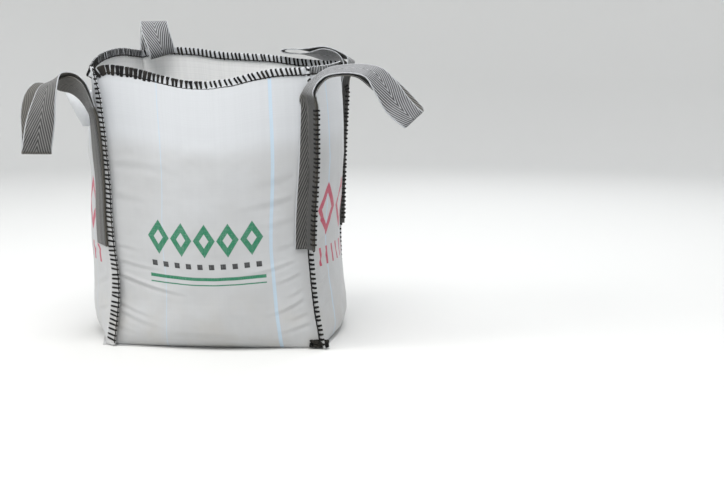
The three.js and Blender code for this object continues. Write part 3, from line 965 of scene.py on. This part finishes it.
def base_cloth():
    outline = foot_outline()
    bm = bmesh.new()
    disc = bmesh.ops.create_circle(bm, cap_ends=True, segments=len(outline), radius=1)["verts"]
    for vert, point in zip(disc, outline):
        away = Vector((point.x, point.y, 0)).normalized()
        vert.co = Vector((point.x, point.y, BASE_LEVEL)) + away * BASE_BORDER
    bmesh.ops.inset_region(
        bm, faces=bm.faces[:], thickness=BASE_BORDER, use_even_offset=True, use_boundary=True
    )
    lay_flat(bm, lambda vert: vert.co.xy)
    if next(iter(bm.faces)).normal.z < 0:
        bmesh.ops.reverse_faces(bm, faces=bm.faces[:])
    cloth = piece(bm, "base_cloth", "woven_fabric", "base_panel", plain_finish)
    thicken(cloth, CLOTH_THICK)


base_cloth()

# %% [markdown]
# Everything that is sewn runs along a line: the mouth's edge and the four seams. A route keeps such a
# line's points with the way across it at each, and gives a frame of directions at any distance along, so
# that one stitch can be modelled once and set down hundreds of times.

# %% Routes
def walked(points):
    """The distance walked along the points, at each of them."""
    distances = [0.0]
    for one, two in zip(points, points[1:]):
        distances.append(distances[-1] + (two - one).length)
    return distances


class Route:
    """A line walked by distance; at each point, back is the sideways direction of a stitch's back."""

    def __init__(self, points, backs, closed=False):
        if closed:
            points, backs = points + points[:1], backs + backs[:1]
        self.points, self.backs, self.closed = points, backs, closed
        self.distances = walked(points)
        self.length = self.distances[-1]

    def at(self, distance):
        """The point at a distance, with the directions along, back and edge."""
        distance = distance % self.length if self.closed else min(max(distance, 0), self.length)
        i = min(max(bisect(self.distances, distance) - 1, 0), len(self.points) - 2)
        share = (distance - self.distances[i]) / (self.distances[i + 1] - self.distances[i])
        point = self.points[i].lerp(self.points[i + 1], share)
        along = (self.points[i + 1] - self.points[i]).normalized()
        back = self.backs[i].lerp(self.backs[i + 1], share)
        edge = along.cross(back).normalized()
        return point, along, edge.cross(along), edge

    def matrix(self, distance, lean, size=1.0):
        """Sets a stitch down: its X along the line, its Y to the back and its Z to the edge."""
        point, along, back, edge = self.at(distance)
        turned = Matrix((along, back, edge)).transposed().to_4x4()
        return Matrix.Translation(point) @ turned @ Matrix.Rotation(lean, 4, "Y") @ Matrix.Scale(size, 4)


def smoothed(points, passes, closed=False):
    """The points, each moved towards the middle of its neighbours, passes times."""
    last = len(points) - 1
    for _ in range(passes):
        points = [
            point if not closed and i in (0, last)
            else point * 0.5 + (points[i - 1] + points[(i + 1) % len(points)]) * 0.25
            for i, point in enumerate(points)
        ]
    return points


# %% [markdown]
# The yarn goes round an edge in a whip stitch: up the front, over, and down the back. A flattened ring
# of eight points makes the yarn's section; it is pushed up one leg, spun half a turn over the edge and
# pushed down the other, and every leg swells a little between the points where it is pulled tight.

# %% One stitch
YARN_THICK = 1.7 * MM
LEG_STEPS = (0.12, 0.25, 0.35, 0.28)  # the shares of a leg between the points where it changes size
YARN_SIDES = 8
OVER_STEPS = 5  # round the half turn over the edge


def pushed(bm, edges, move, size):
    """The ring of edges pushed on by move, and then widened or narrowed by size."""
    made = bmesh.ops.extrude_edge_only(bm, edges=edges)["geom"]
    verts = [item for item in made if isinstance(item, bmesh.types.BMVert)]
    bmesh.ops.translate(bm, vec=move, verts=verts)
    middle = sum((vert.co for vert in verts), Vector()) / len(verts)
    bmesh.ops.scale(bm, vec=(size, 1, 1), space=Matrix.Translation(-middle), verts=verts)
    ring = set(verts)
    return [e for e in made if isinstance(e, bmesh.types.BMEdge) and ring.issuperset(e.verts)]


def whip_stitch(tall, spread, width, slant, top_size=0.9, crown=None):
    """Yarn from tall below the edge on the front, y = -spread, over it, and down to the same on the back.

    top_size is what its width is multiplied by at the edge, and crown is how high it stands over the
    edge, where that isn't the same as its spread.
    """
    bm = bmesh.new()
    bmesh.ops.create_circle(bm, segments=YARN_SIDES, radius=0.5)
    bmesh.ops.scale(bm, vec=(width * 0.55, YARN_THICK * 0.7, 1), verts=bm.verts)
    bmesh.ops.translate(bm, vec=(-slant / 2, -spread / 2, -tall), verts=bm.verts)
    ring = bm.edges[:]
    rise = tall - YARN_THICK
    for share, size, out in zip(LEG_STEPS, (1.75, 1.1, 1.0, top_size), (-spread / 2, 0, 0, 0)):
        ring = pushed(bm, ring, (slant * share, out, rise * share), size)
    spun = bmesh.ops.spin(
        bm,
        geom=ring + list({v for e in ring for v in e.verts}),
        cent=(0, 0, -YARN_THICK),
        axis=(-1, 0, 0),
        dvec=(0, 0, 0),
        angle=math.pi,
        steps=OVER_STEPS,
    )["geom_last"]
    ring = [item for item in spun if isinstance(item, bmesh.types.BMEdge)]
    for share, size, out in zip(LEG_STEPS[::-1], (1 / top_size, 1.0, 0.9, 0.6), (0, 0, 0, -spread / 2)):
        ring = pushed(bm, ring, (slant * share, out, -rise * share), size)
    if crown:
        over = [vert for vert in bm.verts if vert.co.z > -YARN_THICK + 0.1 * MM]
        about = Matrix.Translation((0, 0, YARN_THICK))
        bmesh.ops.scale(bm, vec=(1, 1, crown / spread), space=about, verts=over)
    bmesh.ops.holes_fill(bm, edges=bm.edges, sides=YARN_SIDES)
    bmesh.ops.recalc_face_normals(bm, faces=bm.faces)
    return mesh_from(bm, "stitch")


# %% Stitches set down, and round strands
STRAND_SIDES = 6


def set_down(bm, mesh, matrix):
    """Adds a copy of the mesh to bm, placed by the matrix."""
    placed = mesh.copy()
    placed.transform(matrix)
    bm.from_mesh(placed)
    bpy.data.meshes.remove(placed)


def strand(bm, points, radius):
    """Adds a round strand through the points to bm, as a grid rolled up and welded."""
    rolled = bmesh.new()
    rows = len(points) - 1
    bmesh.ops.create_grid(rolled, x_segments=STRAND_SIDES, y_segments=rows, size=1)
    for vert in rolled.verts:
        turn = (vert.co.x + 1) * math.pi
        j = round((vert.co.y + 1) / 2 * rows)
        along = (points[min(j + 1, rows)] - points[max(j - 1, 0)]).normalized()
        side = along.cross(UP if abs(along.z) < 0.8 else Vector((1, 0, 0))).normalized()
        vert.co = points[j] + (side * math.cos(turn) + along.cross(side) * math.sin(turn)) * radius
    bmesh.ops.remove_doubles(rolled, verts=rolled.verts, dist=radius * 0.02)
    bmesh.ops.holes_fill(rolled, edges=rolled.edges, sides=STRAND_SIDES)
    bmesh.ops.recalc_face_normals(rolled, faces=rolled.faces)
    mesh = mesh_from(rolled, "strand")
    bm.from_mesh(mesh)
    bpy.data.meshes.remove(mesh)


# %% [markdown]
# The mouth's edge is rolled over and sewn down with the same yarn. The roll is a band of cloth round the
# whole mouth, a little wavy where each stitch pulls it in. The stitches lean to the left. At the left end
# of the front they are crowded, so that the edge looks solid, then knotted, and open from there on.

# %% Rolled edge of the mouth
HEM_TALL = 17 * MM
HEM_HALF = 1.7 * MM
HEM_PITCH = 11 * MM
HEM_STEPS = 4  # columns of the roll for each stitch
ROLL_PINCH = 0.22  # how much narrower the roll is at a stitch, and wider between them
ROLL_PUFF = 1.0 * MM  # how much lower its top is there
MOUTH_STEPS = 150
# The roll's section from the front's foot over the top to the back's, as shares of its half and height.
ROLL_SECTION = [
    (-0.6, -1.0), (-1.0, -0.9), (-1.0, -0.55), (-1.0, -0.2), (-0.7, 0.01), (0, 0.05),
    (0.7, 0.01), (1.0, -0.2), (1.0, -0.55), (1.0, -0.9), (0.6, -1.0),
]


def mouth_route():
    points, backs = [], []
    for wall in WALLS.values():
        for u in spaced(-1, 1, MOUTH_STEPS)[:-1]:
            out = wall.ends(wall.top(u))[2]
            points.append(wall.surface(u, wall.top(u)) - out * CLOTH_THICK / 2)
    points = smoothed(points, 6, closed=True)
    for i, point in enumerate(points):
        along = points[(i + 1) % len(points)] - points[i - 1]
        backs.append(Vector((-along.y, along.x, 0)).normalized())
    return Route(points, backs, closed=True)


mouth = mouth_route()
mouth_stitches = round(mouth.length / HEM_PITCH)
print("mouth", round(mouth.length, 3), "m round", mouth_stitches, "stitches")


def rolled_edge():
    columns = mouth_stitches * HEM_STEPS
    rows = len(ROLL_SECTION)

    def place(i, j):
        point, _, back, edge = mouth.at(mouth.length * (i % columns) / columns)
        pinch = math.cos(math.tau * i / HEM_STEPS)
        y, z = ROLL_SECTION[j % rows]
        dip = ROLL_PUFF * pinch if z > 0 else 0
        return point + back * (y * HEM_HALF * (1 - ROLL_PINCH * pinch)) + edge * (z * HEM_TALL - dip)

    def flat(i, j):
        return mouth.length * i / columns, PANEL_TALL + HEM_TALL * j / rows

    bm = bent_sheet(columns, rows, place, flat)
    bmesh.ops.remove_doubles(bm, verts=bm.verts, dist=0.01 * MM)
    bmesh.ops.recalc_face_normals(bm, faces=bm.faces)
    piece(bm, "rolled_edge", "woven_fabric", "hem_stitching", plain_finish)


rolled_edge()

# %% Stitches of the mouth
FRONT_END = mouth.length / 4  # the front's share of the mouth, near enough
CROWDED_END = 0.3 * FRONT_END
KNOTTED_END = 0.52 * FRONT_END
NEEDLE_WAVE = 3  # steps to each small wave of the needle's thread
sewing = random.Random(4)


def mouth_overlock():
    """The stitches over the edge, and the needle's thread along their feet on both sides."""
    crowded = whip_stitch(HEM_TALL + 5 * MM, 3.2 * MM, width=7.8 * MM, slant=-2.4 * MM, top_size=1.2)
    knotted = whip_stitch(HEM_TALL + 2 * MM, 3.0 * MM, width=5.6 * MM, slant=-3.6 * MM, top_size=1.5)
    open_one = whip_stitch(HEM_TALL + 1 * MM, 2.5 * MM, width=5.1 * MM, slant=-5.0 * MM)
    kinds = [(CROWDED_END, crowded), (KNOTTED_END, knotted), (mouth.length, open_one)]
    bm = bmesh.new()
    for n in range(mouth_stitches):
        distance = mouth.length * (n + sewing.uniform(-0.13, 0.13)) / mouth_stitches
        stitch = next(kind for end, kind in kinds if distance < end)
        matrix = mouth.matrix(distance, sewing.uniform(-0.09, 0.09), sewing.uniform(0.93, 1.06))
        set_down(bm, stitch, matrix)
    steps = mouth_stitches * NEEDLE_WAVE
    for side in (-1, 1):
        line = []
        for n in range(steps + 1):
            point, _, back, edge = mouth.at(mouth.length * n / steps)
            wave = math.sin(math.tau * n / NEEDLE_WAVE) * 0.5 * MM
            line.append(point + back * (side * 2.4 * MM) - edge * (HEM_TALL - 0.5 * MM + wave))
        strand(bm, line, 1.4 * MM)
    piece(bm, "mouth_overlock", "stitching", "hem_stitching", yarn)


mouth_overlock()

# %% [markdown]
# The four corner seams are sewn the same way. Below the webbing the yarn goes round the two turned-out
# edges alone, with a thick line of it at the stitches' feet. Where the webbing lies along a seam, the
# yarn takes in both of its layers too, so those stitches are deep. The front left webbing stops short of
# the seam's edge: there the stitches stay shallow all the way up, and a zigzag of yarn locks them. At the
# foot of the front right seam the yarn's end is wound up in a loose knot.

# %% Lines of stitches
SEAM_PITCH = 11 * MM
SEAM_FOOT = 8 * MM
WEB_THICK = 2.2 * MM
PLY_OFFSET = 4.0 * MM  # from the middle of one webbing layer to the middle of the next
WEB_OFF = 1.5 * MM  # from the cloth to the middle of the first layer
WEB_PACK = WEB_OFF + PLY_OFFSET + WEB_THICK / 2  # from the cloth to the outside of the second layer
BAR = 20 * MM  # how tall a stitch is modelled, before it is scaled


def seam_route(seam, foot, head, left):
    """Upwards along the seam's free edge."""
    heights = spaced(foot, head, round((head - foot) / SEAM_PITCH))
    points = [seam.point(height, seam.reach(height), left) for height in heights]
    return Route(points, [-seam.left] * len(points))


def sew(bm, route, stitch, tall_at, lean):
    """Sets the stitch down along the route; tall_at gives how tall it is at a height."""
    count = round(route.length / SEAM_PITCH)
    for n in range(count):
        distance = route.length * (n + 0.5 + sewing.uniform(-0.12, 0.12)) / count
        tall = tall_at(route.at(distance)[0].z) / BAR
        matrix = route.matrix(distance, lean + sewing.uniform(-0.08, 0.08))
        set_down(bm, stitch, matrix @ Matrix.Scale(tall, 4, (0, 0, 1)))


# %% Yarn along the seams
NEEDLE_STEP = 5 * MM
TANGLE = {"wide": 21 * MM, "deep": 6 * MM, "tall": 7 * MM, "turns": 12, "steps": 240}


def chain(bm, route, depth, swing, radius):
    """A zigzag of yarn along the route, on the far side of its edge."""
    line = []
    count = 2 * round(route.length / SEAM_PITCH)
    for n in range(count + 1):
        point, _, back, edge = route.at(route.length * n / count)
        side = swing if n % 2 else -swing
        line.append(point + back * depth - edge * (1.5 * MM + side))
    strand(bm, line, radius)


def needle_line(bm, seam, foot, head, out):
    """The thick line of yarn at the stitches' feet, on the near side of the seam."""
    line = []
    for i, height in enumerate(spaced(foot, head, round((head - foot) / NEEDLE_STEP))):
        sway = 0.6 * MM * math.sin(1.9 * i)
        line.append(seam.point(height, out + sway, -1.8 * MM))
    strand(bm, line, 1.5 * MM)


def tangle(bm, middle):
    """The long end of the yarn, wound up in a loose knot where the sewing stopped.

    It swings at a different rate in each direction, so that no turn lies on another.
    """
    points = []
    for i in range(TANGLE["steps"]):
        a = math.tau * TANGLE["turns"] * i / TANGLE["steps"]
        x = TANGLE["wide"] * math.sin(a * 0.61)
        y = TANGLE["deep"] * math.sin(a * 1.37 + 0.6)
        z = TANGLE["tall"] * math.sin(a + 0.9 * math.sin(a * 0.4))
        points.append(middle + Vector((x, y, z)))
    strand(bm, points, 1.9 * MM)


# %% Sew the corner seams
FIN_TALL = 21 * MM
DEEP_TALL = 15 * MM
CLEAR_OF_WEBBING = 10 * MM  # a seam that stands out this far past its webbing is sewn beside it


def sew_beside_webbing(bm, seam, top):
    """Shallow stitches on the seam's edge all the way up, clear of the webbing, and their zigzag."""
    ladder = whip_stitch(BAR, 2.0 * MM, width=4.4 * MM, slant=1.5 * MM)
    route = seam_route(seam, SEAM_FOOT, top, SEAM_THICK / 2)

    def tall_at(height):
        inner = 3 * MM if height < WEB_FOOT else seam.web_on_seam(height) - 2 * MM
        return seam.reach(height) - inner

    sew(bm, route, ladder, tall_at, 0.0)
    chain(bm, route, 1.6 * MM, 1.2 * MM, 1.2 * MM)


def sew_through_webbing(bm, seam, top):
    """Deep stitches where the webbing lies on the seam, and stitches round the cloth below and above."""
    fin = whip_stitch(BAR, 2.0 * MM, width=5.4 * MM, slant=1.5 * MM)
    half = (WEB_PACK + SEAM_THICK) / 2 + 1.0 * MM
    deep = whip_stitch(BAR, half, width=4.8 * MM, slant=1.5 * MM, crown=3 * MM)
    low = seam_route(seam, SEAM_FOOT, WEB_FOOT, SEAM_THICK / 2)
    sew(bm, low, fin, lambda height: FIN_TALL, 0.16)
    needle_line(bm, seam, SEAM_FOOT, WEB_FOOT, 2.5 * MM)
    high = seam_route(seam, WEB_FOOT + 8 * MM, seam.web_head - 2 * MM, SEAM_THICK - half + 1.0 * MM)
    sew(bm, high, deep, lambda height: DEEP_TALL, 0.1)
    bare = seam_route(seam, seam.web_head + 12 * MM, top, SEAM_THICK / 2)
    sew(bm, bare, fin, lambda height: max(8 * MM, seam.reach(height) - 1 * MM), 0.1)


def corner_overlock(seam, top):
    bm = bmesh.new()
    if seam.reach(WEB_FOOT) - seam.web_on_seam(WEB_FOOT) > CLEAR_OF_WEBBING:
        sew_beside_webbing(bm, seam, top)
    else:
        sew_through_webbing(bm, seam, top)
    if seam.name == "front_right":
        tangle(bm, seam.point(12 * MM, 4 * MM, -4 * MM))
    piece(bm, "overlock_" + seam.name, "stitching", "corner_stitching_" + seam.name, yarn)


for wall in WALLS.values():
    corner_overlock(wall.end, wall.top(1) - 2 * MM)

# %% [markdown]
# A lifting loop is one length of flat webbing. Both its ends are sewn down a corner, one on the other,
# and the run between them stands or flops as it was dropped. Webbing bends easily along its length and
# hardly at all in its own plane, so it is a sheet: rows across it are set at a few stations, and a smooth
# curve takes each column through them.

# %% Webbing on a corner
WEB_COLUMNS = 14
WEB_ROW = 6 * MM


def across_places():
    """The places across the webbing, from its seam edge to its panel edge."""
    return spaced(-WEB_WIDE / 2, WEB_WIDE / 2, WEB_COLUMNS)


def sewn_row(seam, wall, height, ply):
    """The webbing's points across, where it is wrapped round the corner and sewn down."""
    off = WEB_OFF + ply * PLY_OFFSET
    on_seam = seam.web_on_seam(height)
    row = []
    for place in across_places():
        past_corner = place + WEB_WIDE / 2 - on_seam
        if past_corner < 0:
            row.append(seam.point(height, -past_corner, -off))
        else:
            point = wall.surface(1 - past_corner / (PANEL_FLAT / 2), height)
            row.append(point + wall.ends(height)[2] * off)
    return smoothed(row, 1)


# %% [markdown]
# The stations of each free run are set from the photograph: where the middle of the webbing is,
# in millimetres, and which way it lies across, from its seam edge to its panel edge. The front left loop
# arches out and hangs down as a flap, the front right one reaches to the right, the back right one has
# flopped flat behind the mouth's edge and the back left one stands up.

# %% Stations of the free webbing
LOOP_STATIONS = {
    "front_left": [
        ((-283, -243, 590), (-0.36, 0.8, -0.48)),
        ((-303, -241, 610), (-0.34, 0.77, -0.54)),
        ((-326, -242, 618), (-0.4, 0.76, -0.52)),
        ((-346, -252, 622), (-0.5, 0.8, -0.32)),
        ((-357, -278, 608), (-0.76, 0.64, -0.1)),
        ((-364, -296, 570), (-0.9, 0.44, 0)),
        ((-371, -304, 525), (-1, 0.1, 0)),
        ((-377, -305, 488), (-1, 0, 0)),
        ((-384, -299, 456), (-1, 0, 0)),
        ((-389, -282, 452), (-1, 0, 0)),
        ((-395, -267, 490), (-1, 0.1, 0)),
        ((-404, -252, 542), (-0.94, 0.33, 0.05)),
        ((-401, -242, 582), (-0.85, 0.52, 0.1)),
        ((-388, -232, 602), (-0.68, 0.7, 0.2)),
        ((-366, -231, 609), (-0.5, 0.84, -0.1)),
        ((-340, -236, 609), (-0.42, 0.78, -0.46)),
        ((-312, -244, 605), (-0.36, 0.77, -0.53)),
        ((-290, -248, 588), (-0.36, 0.8, -0.48)),
    ],
    "front_right": [
        ((246, -281, 596), (-0.4, 0.91, 0.1)),
        ((260, -281, 614), (-0.25, 0.96, 0.14)),
        ((286, -282, 633), (-0.04, 0.97, 0.22)),
        ((322, -281, 639), (0.05, 0.97, 0.24)),
        ((359, -278, 637), (0.25, 0.92, 0.3)),
        ((394, -265, 619), (0.45, 0.76, 0.46)),
        ((428, -259, 589), (0.5, 0.7, 0.51)),
        ((457, -262, 560), (0.5, 0.7, 0.51)),
        ((477, -278, 539), (0.52, 0.7, 0.48)),
        ((473, -295, 534), (0.52, 0.7, 0.48)),
        ((438, -295, 566), (0.66, 0.6, 0.46)),
        ((411, -292, 606), (0.6, 0.7, 0.38)),
        ((386, -288, 636), (0.42, 0.85, 0.3)),
        ((354, -284, 645), (0.2, 0.94, 0.28)),
        ((316, -284, 645), (0.03, 0.97, 0.24)),
        ((280, -284, 638), (-0.06, 0.97, 0.22)),
        ((253, -283, 619), (-0.25, 0.96, 0.14)),
        ((238, -284, 597), (-0.4, 0.91, 0.1)),
    ],
    "back_right": [
        ((275, 243, 644), (-0.2, -0.97, 0.1)),
        ((252, 246, 664), (0, -0.95, 0.3)),
        ((214, 250, 670), (0, -0.88, 0.45)),
        ((176, 254, 671), (0, -0.98, 0.15)),
        ((142, 256, 673), (0, -1, 0)),
        ((114, 256, 675), (0, -1, 0)),
        ((103, 256, 680), (0, -1, 0)),
        ((114, 256, 685), (0, -1, 0)),
        ((142, 256, 684), (0, -1, 0)),
        ((176, 254, 682), (0, -0.98, 0.15)),
        ((216, 250, 676), (0, -0.88, 0.45)),
        ((254, 246, 670), (0, -0.95, 0.3)),
        ((284, 243, 658), (-0.15, -0.98, 0.1)),
    ],
    "back_left": [
        ((-238, 262, 700), (1, 0, 0)),
        ((-232, 246, 730), (1, 0.1, 0.05)),
        ((-224, 220, 716), (0.98, 0.1, 0.1)),
        ((-207, 206, 684), (0.87, 0.45, 0.2)),
        ((-199, 192, 668), (0.75, 0.6, 0.24)),
        ((-201, 182, 690), (0.8, 0.56, 0.2)),
        ((-218, 196, 732), (0.96, 0.26, 0.1)),
        ((-230, 232, 756), (1, 0.1, 0.02)),
        ((-238, 266, 742), (1, 0.05, 0)),
        ((-244, 276, 700), (0.99, -0.05, 0)),
    ],
}

# %% Rows of the webbing
LEAN = {"out": 3 * MM, "up": 14 * MM}  # how the webbing leaves the top of its seam


def free_row(middle, across):
    """The webbing's points across, at a station of its free run."""
    centre, way = Vector(middle) * MM, Vector(across).normalized()
    return [centre + way * place for place in across_places()]


def leaning_row(row):
    """The row just above a sewn one: away from the bag, higher, and flatter across."""
    seam_edge, panel_edge = row[0], row[-1]
    out = Vector((panel_edge.y - seam_edge.y, seam_edge.x - panel_edge.x, 0)).normalized()
    return [point - out * LEAN["out"] + UP * LEAN["up"] for point in smoothed(row, 12)]


def walked_in_middle(rows):
    """The distance walked along the middle of the webbing, at each of its rows."""
    return walked([row[WEB_COLUMNS // 2] for row in rows])


def sewn_count(seam):
    """How many rows lie along the corner."""
    return round((seam.web_head - WEB_FOOT) / WEB_ROW)


def webbing_rows(seam, wall):
    """All the rows of one loop: up the corner, round its free run, and down over itself."""
    heights = spaced(WEB_FOOT, seam.web_head, sewn_count(seam))
    up = [sewn_row(seam, wall, height, 0) for height in heights]
    down = [sewn_row(seam, wall, height, 1) for height in reversed(heights)]
    stations = [up[-2], up[-1], leaning_row(up[-1])]
    stations += [free_row(*station) for station in LOOP_STATIONS[seam.name]]
    stations += [leaning_row(down[0]), down[0], down[1]]
    at = walked_in_middle(stations)
    columns = [curve_through(list(zip(at, column))) for column in zip(*stations)]
    free = spaced(at[1], at[-2], round((at[-2] - at[1]) / WEB_ROW))[1:-1]
    return up + [[column(distance) for column in columns] for distance in free] + down


# %% Marks for the webbing's finish
# How much painted shade each loop gets: how dark its underside is, and how much painted shade, with a
# tone of dirt, lies over its free run.
LOOP_SHADE_AND_DIRT = {"front_left": (1, 0.62), "front_right": (1, 0), "back_right": (0.3, 0), "back_left": (0.6, 0)}
SEWN_SHADE = 0.75
SEWN_FADE = (12, 4)  # rows past the corner where the shade starts and where it is full


def mark_webbing(loop, rows, corner_rows, underside, shade_and_dirt):
    """Notes for the finish at each point how far its upper face looks up, and how far it is shaded."""
    stride = WEB_COLUMNS + 1
    middle = WEB_COLUMNS // 2
    last = len(rows) - 1
    fade_from, fade_to = (corner_rows + past for past in SEWN_FADE)
    facing, sewn = [], []
    for j, row in enumerate(rows):
        onward = rows[min(j + 1, last)][middle] - rows[max(j - 1, 0)][middle]
        facing += [underside * (row[-1] - row[0]).cross(onward).normalized().z] * stride
        # Painted shade, full along the corner and fading past it, never less than the loop's share for
        # its free run.
        held = smoothly(min(j, last - j), fade_from, fade_to)
        sewn += [max(SEWN_SHADE * held, shade_and_dirt)] * stride
    for name, values in (("facing", facing), ("sewn", sewn)):
        loop.data.attributes.new(name, "FLOAT", "POINT").data.foreach_set("value", values)


# %% Webbing loops
def lifting_loop(seam, wall):
    rows = webbing_rows(seam, wall)
    places = across_places()
    along = walked_in_middle(rows)
    bm = bent_sheet(
        WEB_COLUMNS, len(rows) - 1, lambda i, j: rows[j][i], lambda i, j: (places[i], along[j])
    )
    node = "lifting_loop_" + seam.name
    loop = piece(bm, "webbing_loop_" + seam.name, "webbing", node, webbing_upper, webbing_under_shaded)
    mark_webbing(loop, rows, sewn_count(seam), *LOOP_SHADE_AND_DIRT[seam.name])
    thicken(loop, WEB_THICK, 0.0, 1)
    print("webbing length", round(along[-1], 3), "m")


for wall in WALLS.values():
    lifting_loop(wall.end, wall)

# %% [markdown]
# A blank sheet is caught under the front left webbing, and its free edge stands out to the side. It is
# stiff and smooth, so it only bows a little, and its free edge leans back at the top. Its four corners
# come from the model.

# %% Blank sheet
LABEL_STEPS = 16
LABEL_THICK = 0.4 * MM
LABEL_BOW = 3.5 * MM
LABEL_RIPPLE = 2.8 * MM
LABEL_LEAN = 16 * MM  # how far the free edge leans back from foot to head


def label_corners():
    """The sheet's four corners in the model: foot and head, each from its sewn edge to its free edge."""
    low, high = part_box("label_sheet")
    middle = (low.z + high.z) / 2
    corners = []
    for above in (False, True):
        points = [v.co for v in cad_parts["label_sheet"].data.vertices if (v.co.z > middle) == above]
        for reach in (max(p.x for p in points), min(p.x for p in points)):
            near = [p for p in points if abs(p.x - reach) < 1 * MM]
            corners.append(sum(near, Vector()) / len(near))
    return corners


def label_sheet():
    foot_in, foot_out, head_in, head_out = label_corners()
    tall = (head_in - foot_in).length
    wide = (head_out - head_in).length

    def place(i, j):
        s, t = i / LABEL_STEPS, j / LABEL_STEPS
        point = foot_in.lerp(foot_out, s).lerp(head_in.lerp(head_out, s), t)
        bow = LABEL_BOW * math.sin(math.pi * t) * s - LABEL_RIPPLE * math.sin(math.tau * s) * t
        return point + Vector((0, LABEL_LEAN * (t - 0.5) * s - bow, 0))

    def flat(i, j):
        return wide * i / LABEL_STEPS, tall * j / LABEL_STEPS

    bm = bent_sheet(LABEL_STEPS, LABEL_STEPS, place, flat)
    sheet = piece(bm, "blank_sheet", "label", "label_sheet", label_finish.material)
    thicken(sheet, LABEL_THICK, 0.0)
    print("blank sheet", round(wide, 3), "x", round(tall, 3), "m")


label_sheet()

# %% [markdown]
# The fill is a heap of crushed stone. Only its top shows, so a bed carries two layers of separate stones:
# the bed is the model's own fill, drawn in a little from the walls. A few stones are made once, each as
# the hull round some random points, and set down turned and scaled.

# %% Bed of the fill
BED_INSET = 6 * MM
BED_DROP = 5 * MM
BED_TONE = 0.4


def gravel_bed():
    bm = bmesh.new()
    bm.from_mesh(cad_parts["gravel_fill"].data)
    bmesh.ops.remove_doubles(bm, verts=bm.verts, dist=0.05 * MM)
    low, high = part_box("gravel_fill")
    middle, half = (low + high) / 2, (high - low) / 2
    shares = (1 - BED_INSET / half.x, 1 - BED_INSET / half.y, 1 - BED_DROP / (high.z - low.z))
    about = Matrix.Translation((-middle.x, -middle.y, -low.z - 1 * MM))
    bmesh.ops.scale(bm, vec=shares, space=about, verts=bm.verts)
    tone = bm.verts.layers.float.new("tone")
    for vert in bm.verts:
        vert[tone] = BED_TONE
    return piece(bm, "gravel_bed", "gravel", "gravel_fill", stone_bed, smooth=False)


bed = gravel_bed()

# %% One stone
STONE_POINTS = 13
quarry = random.Random(11)


def stone_mesh():
    """One crushed stone, about 1 m across before it is scaled: the hull of points on a squashed ball."""
    bm = bmesh.new()
    sides = Vector((1.0, quarry.uniform(0.7, 0.95), quarry.uniform(0.5, 0.8)))
    for _ in range(STONE_POINTS):
        way = Vector((quarry.gauss(0, 1), quarry.gauss(0, 1), quarry.gauss(0, 1))).normalized()
        bm.verts.new(way * sides * quarry.uniform(0.42, 0.55))
    bmesh.ops.convex_hull(bm, input=bm.verts)
    loose = [vert for vert in bm.verts if not vert.link_faces]
    bmesh.ops.delete(bm, geom=loose, context="VERTS")
    bmesh.ops.recalc_face_normals(bm, faces=bm.faces)
    bm.verts.layers.float.new("tone")
    return mesh_from(bm, "stone")


# %% Stones on the bed
STONE_KINDS = 10
STONE_SPACING = 11.5 * MM
STONE_SIZES = (8 * MM, 19 * MM)
STONE_LAYERS = 2
LAYER_RISE = 5 * MM
STONE_RISE = 0.1  # how far a stone's middle is above the bed, as a share of its size
STONE_REACH = 0.6  # how far to its sides the bed has to reach, as a share of its size
UPPER_FACE = 0.3  # the least upward part of a face that counts as the bed's upper side
bed_rays = rays_against(bed.data)


def bed_height(x, y):
    """The height of the bed's upper face, or None beside it."""
    spot, normal = bed_rays.ray_cast(Vector((x, y, 1.0)), -UP)[:2]
    return spot.z if spot is not None and normal.z > UPPER_FACE else None


def set_stone(bm, kinds, corner, layer):
    """Draws a stone for the cell at corner, and sets it down if the bed carries it on all its sides."""
    x, y = (start + quarry.uniform(0.1, 1.1) * STONE_SPACING for start in corner)
    size = quarry.triangular(*STONE_SIZES, STONE_SIZES[0])
    turns = [Matrix.Rotation(quarry.uniform(0, math.tau), 4, axis) for axis in "ZXY"]
    shade = quarry.random()
    reach = size * STONE_REACH
    spots = ((0, 0), (reach, 0), (-reach, 0), (0, reach), (0, -reach))
    if any(bed_height(x + dx, y + dy) is None for dx, dy in spots):
        return False
    stone = quarry.choice(kinds)
    tone = stone.attributes["tone"].data
    tone.foreach_set("value", [shade] * len(tone))
    place = Matrix.Translation((x, y, bed_height(x, y) + size * STONE_RISE + layer * LAYER_RISE))
    set_down(bm, stone, place @ turns[0] @ turns[1] @ turns[2] @ Matrix.Scale(size, 4))
    return True


def gravel_stones():
    kinds = [stone_mesh() for _ in range(STONE_KINDS)]
    low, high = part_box("gravel_fill")
    rows = int((high.y - low.y) / STONE_SPACING)
    columns = int((high.x - low.x) / STONE_SPACING)
    bm = bmesh.new()
    count = 0
    for layer, row, column in product(range(STONE_LAYERS), range(rows), range(columns)):
        corner = low.x + column * STONE_SPACING, low.y + row * STONE_SPACING
        count += set_stone(bm, kinds, corner, layer)
    print(count, "stones")
    piece(bm, "gravel_stones", "gravel", "gravel_fill", stone_surface, smooth=False)


gravel_stones()

# %% [markdown]
# Last, the bounds of the finished bag are measured, kept beside the model's bounds, and the bag's size is
# printed.

# %% Measure and finish
visual_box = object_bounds()
sizes = {"cad": cad_box, "visual": visual_box}
{name: [list(corner) for corner in box] for name, box in sizes.items()}
print("visual", [round(side, 3) for side in visual_box[1] - visual_box[0]], "m")
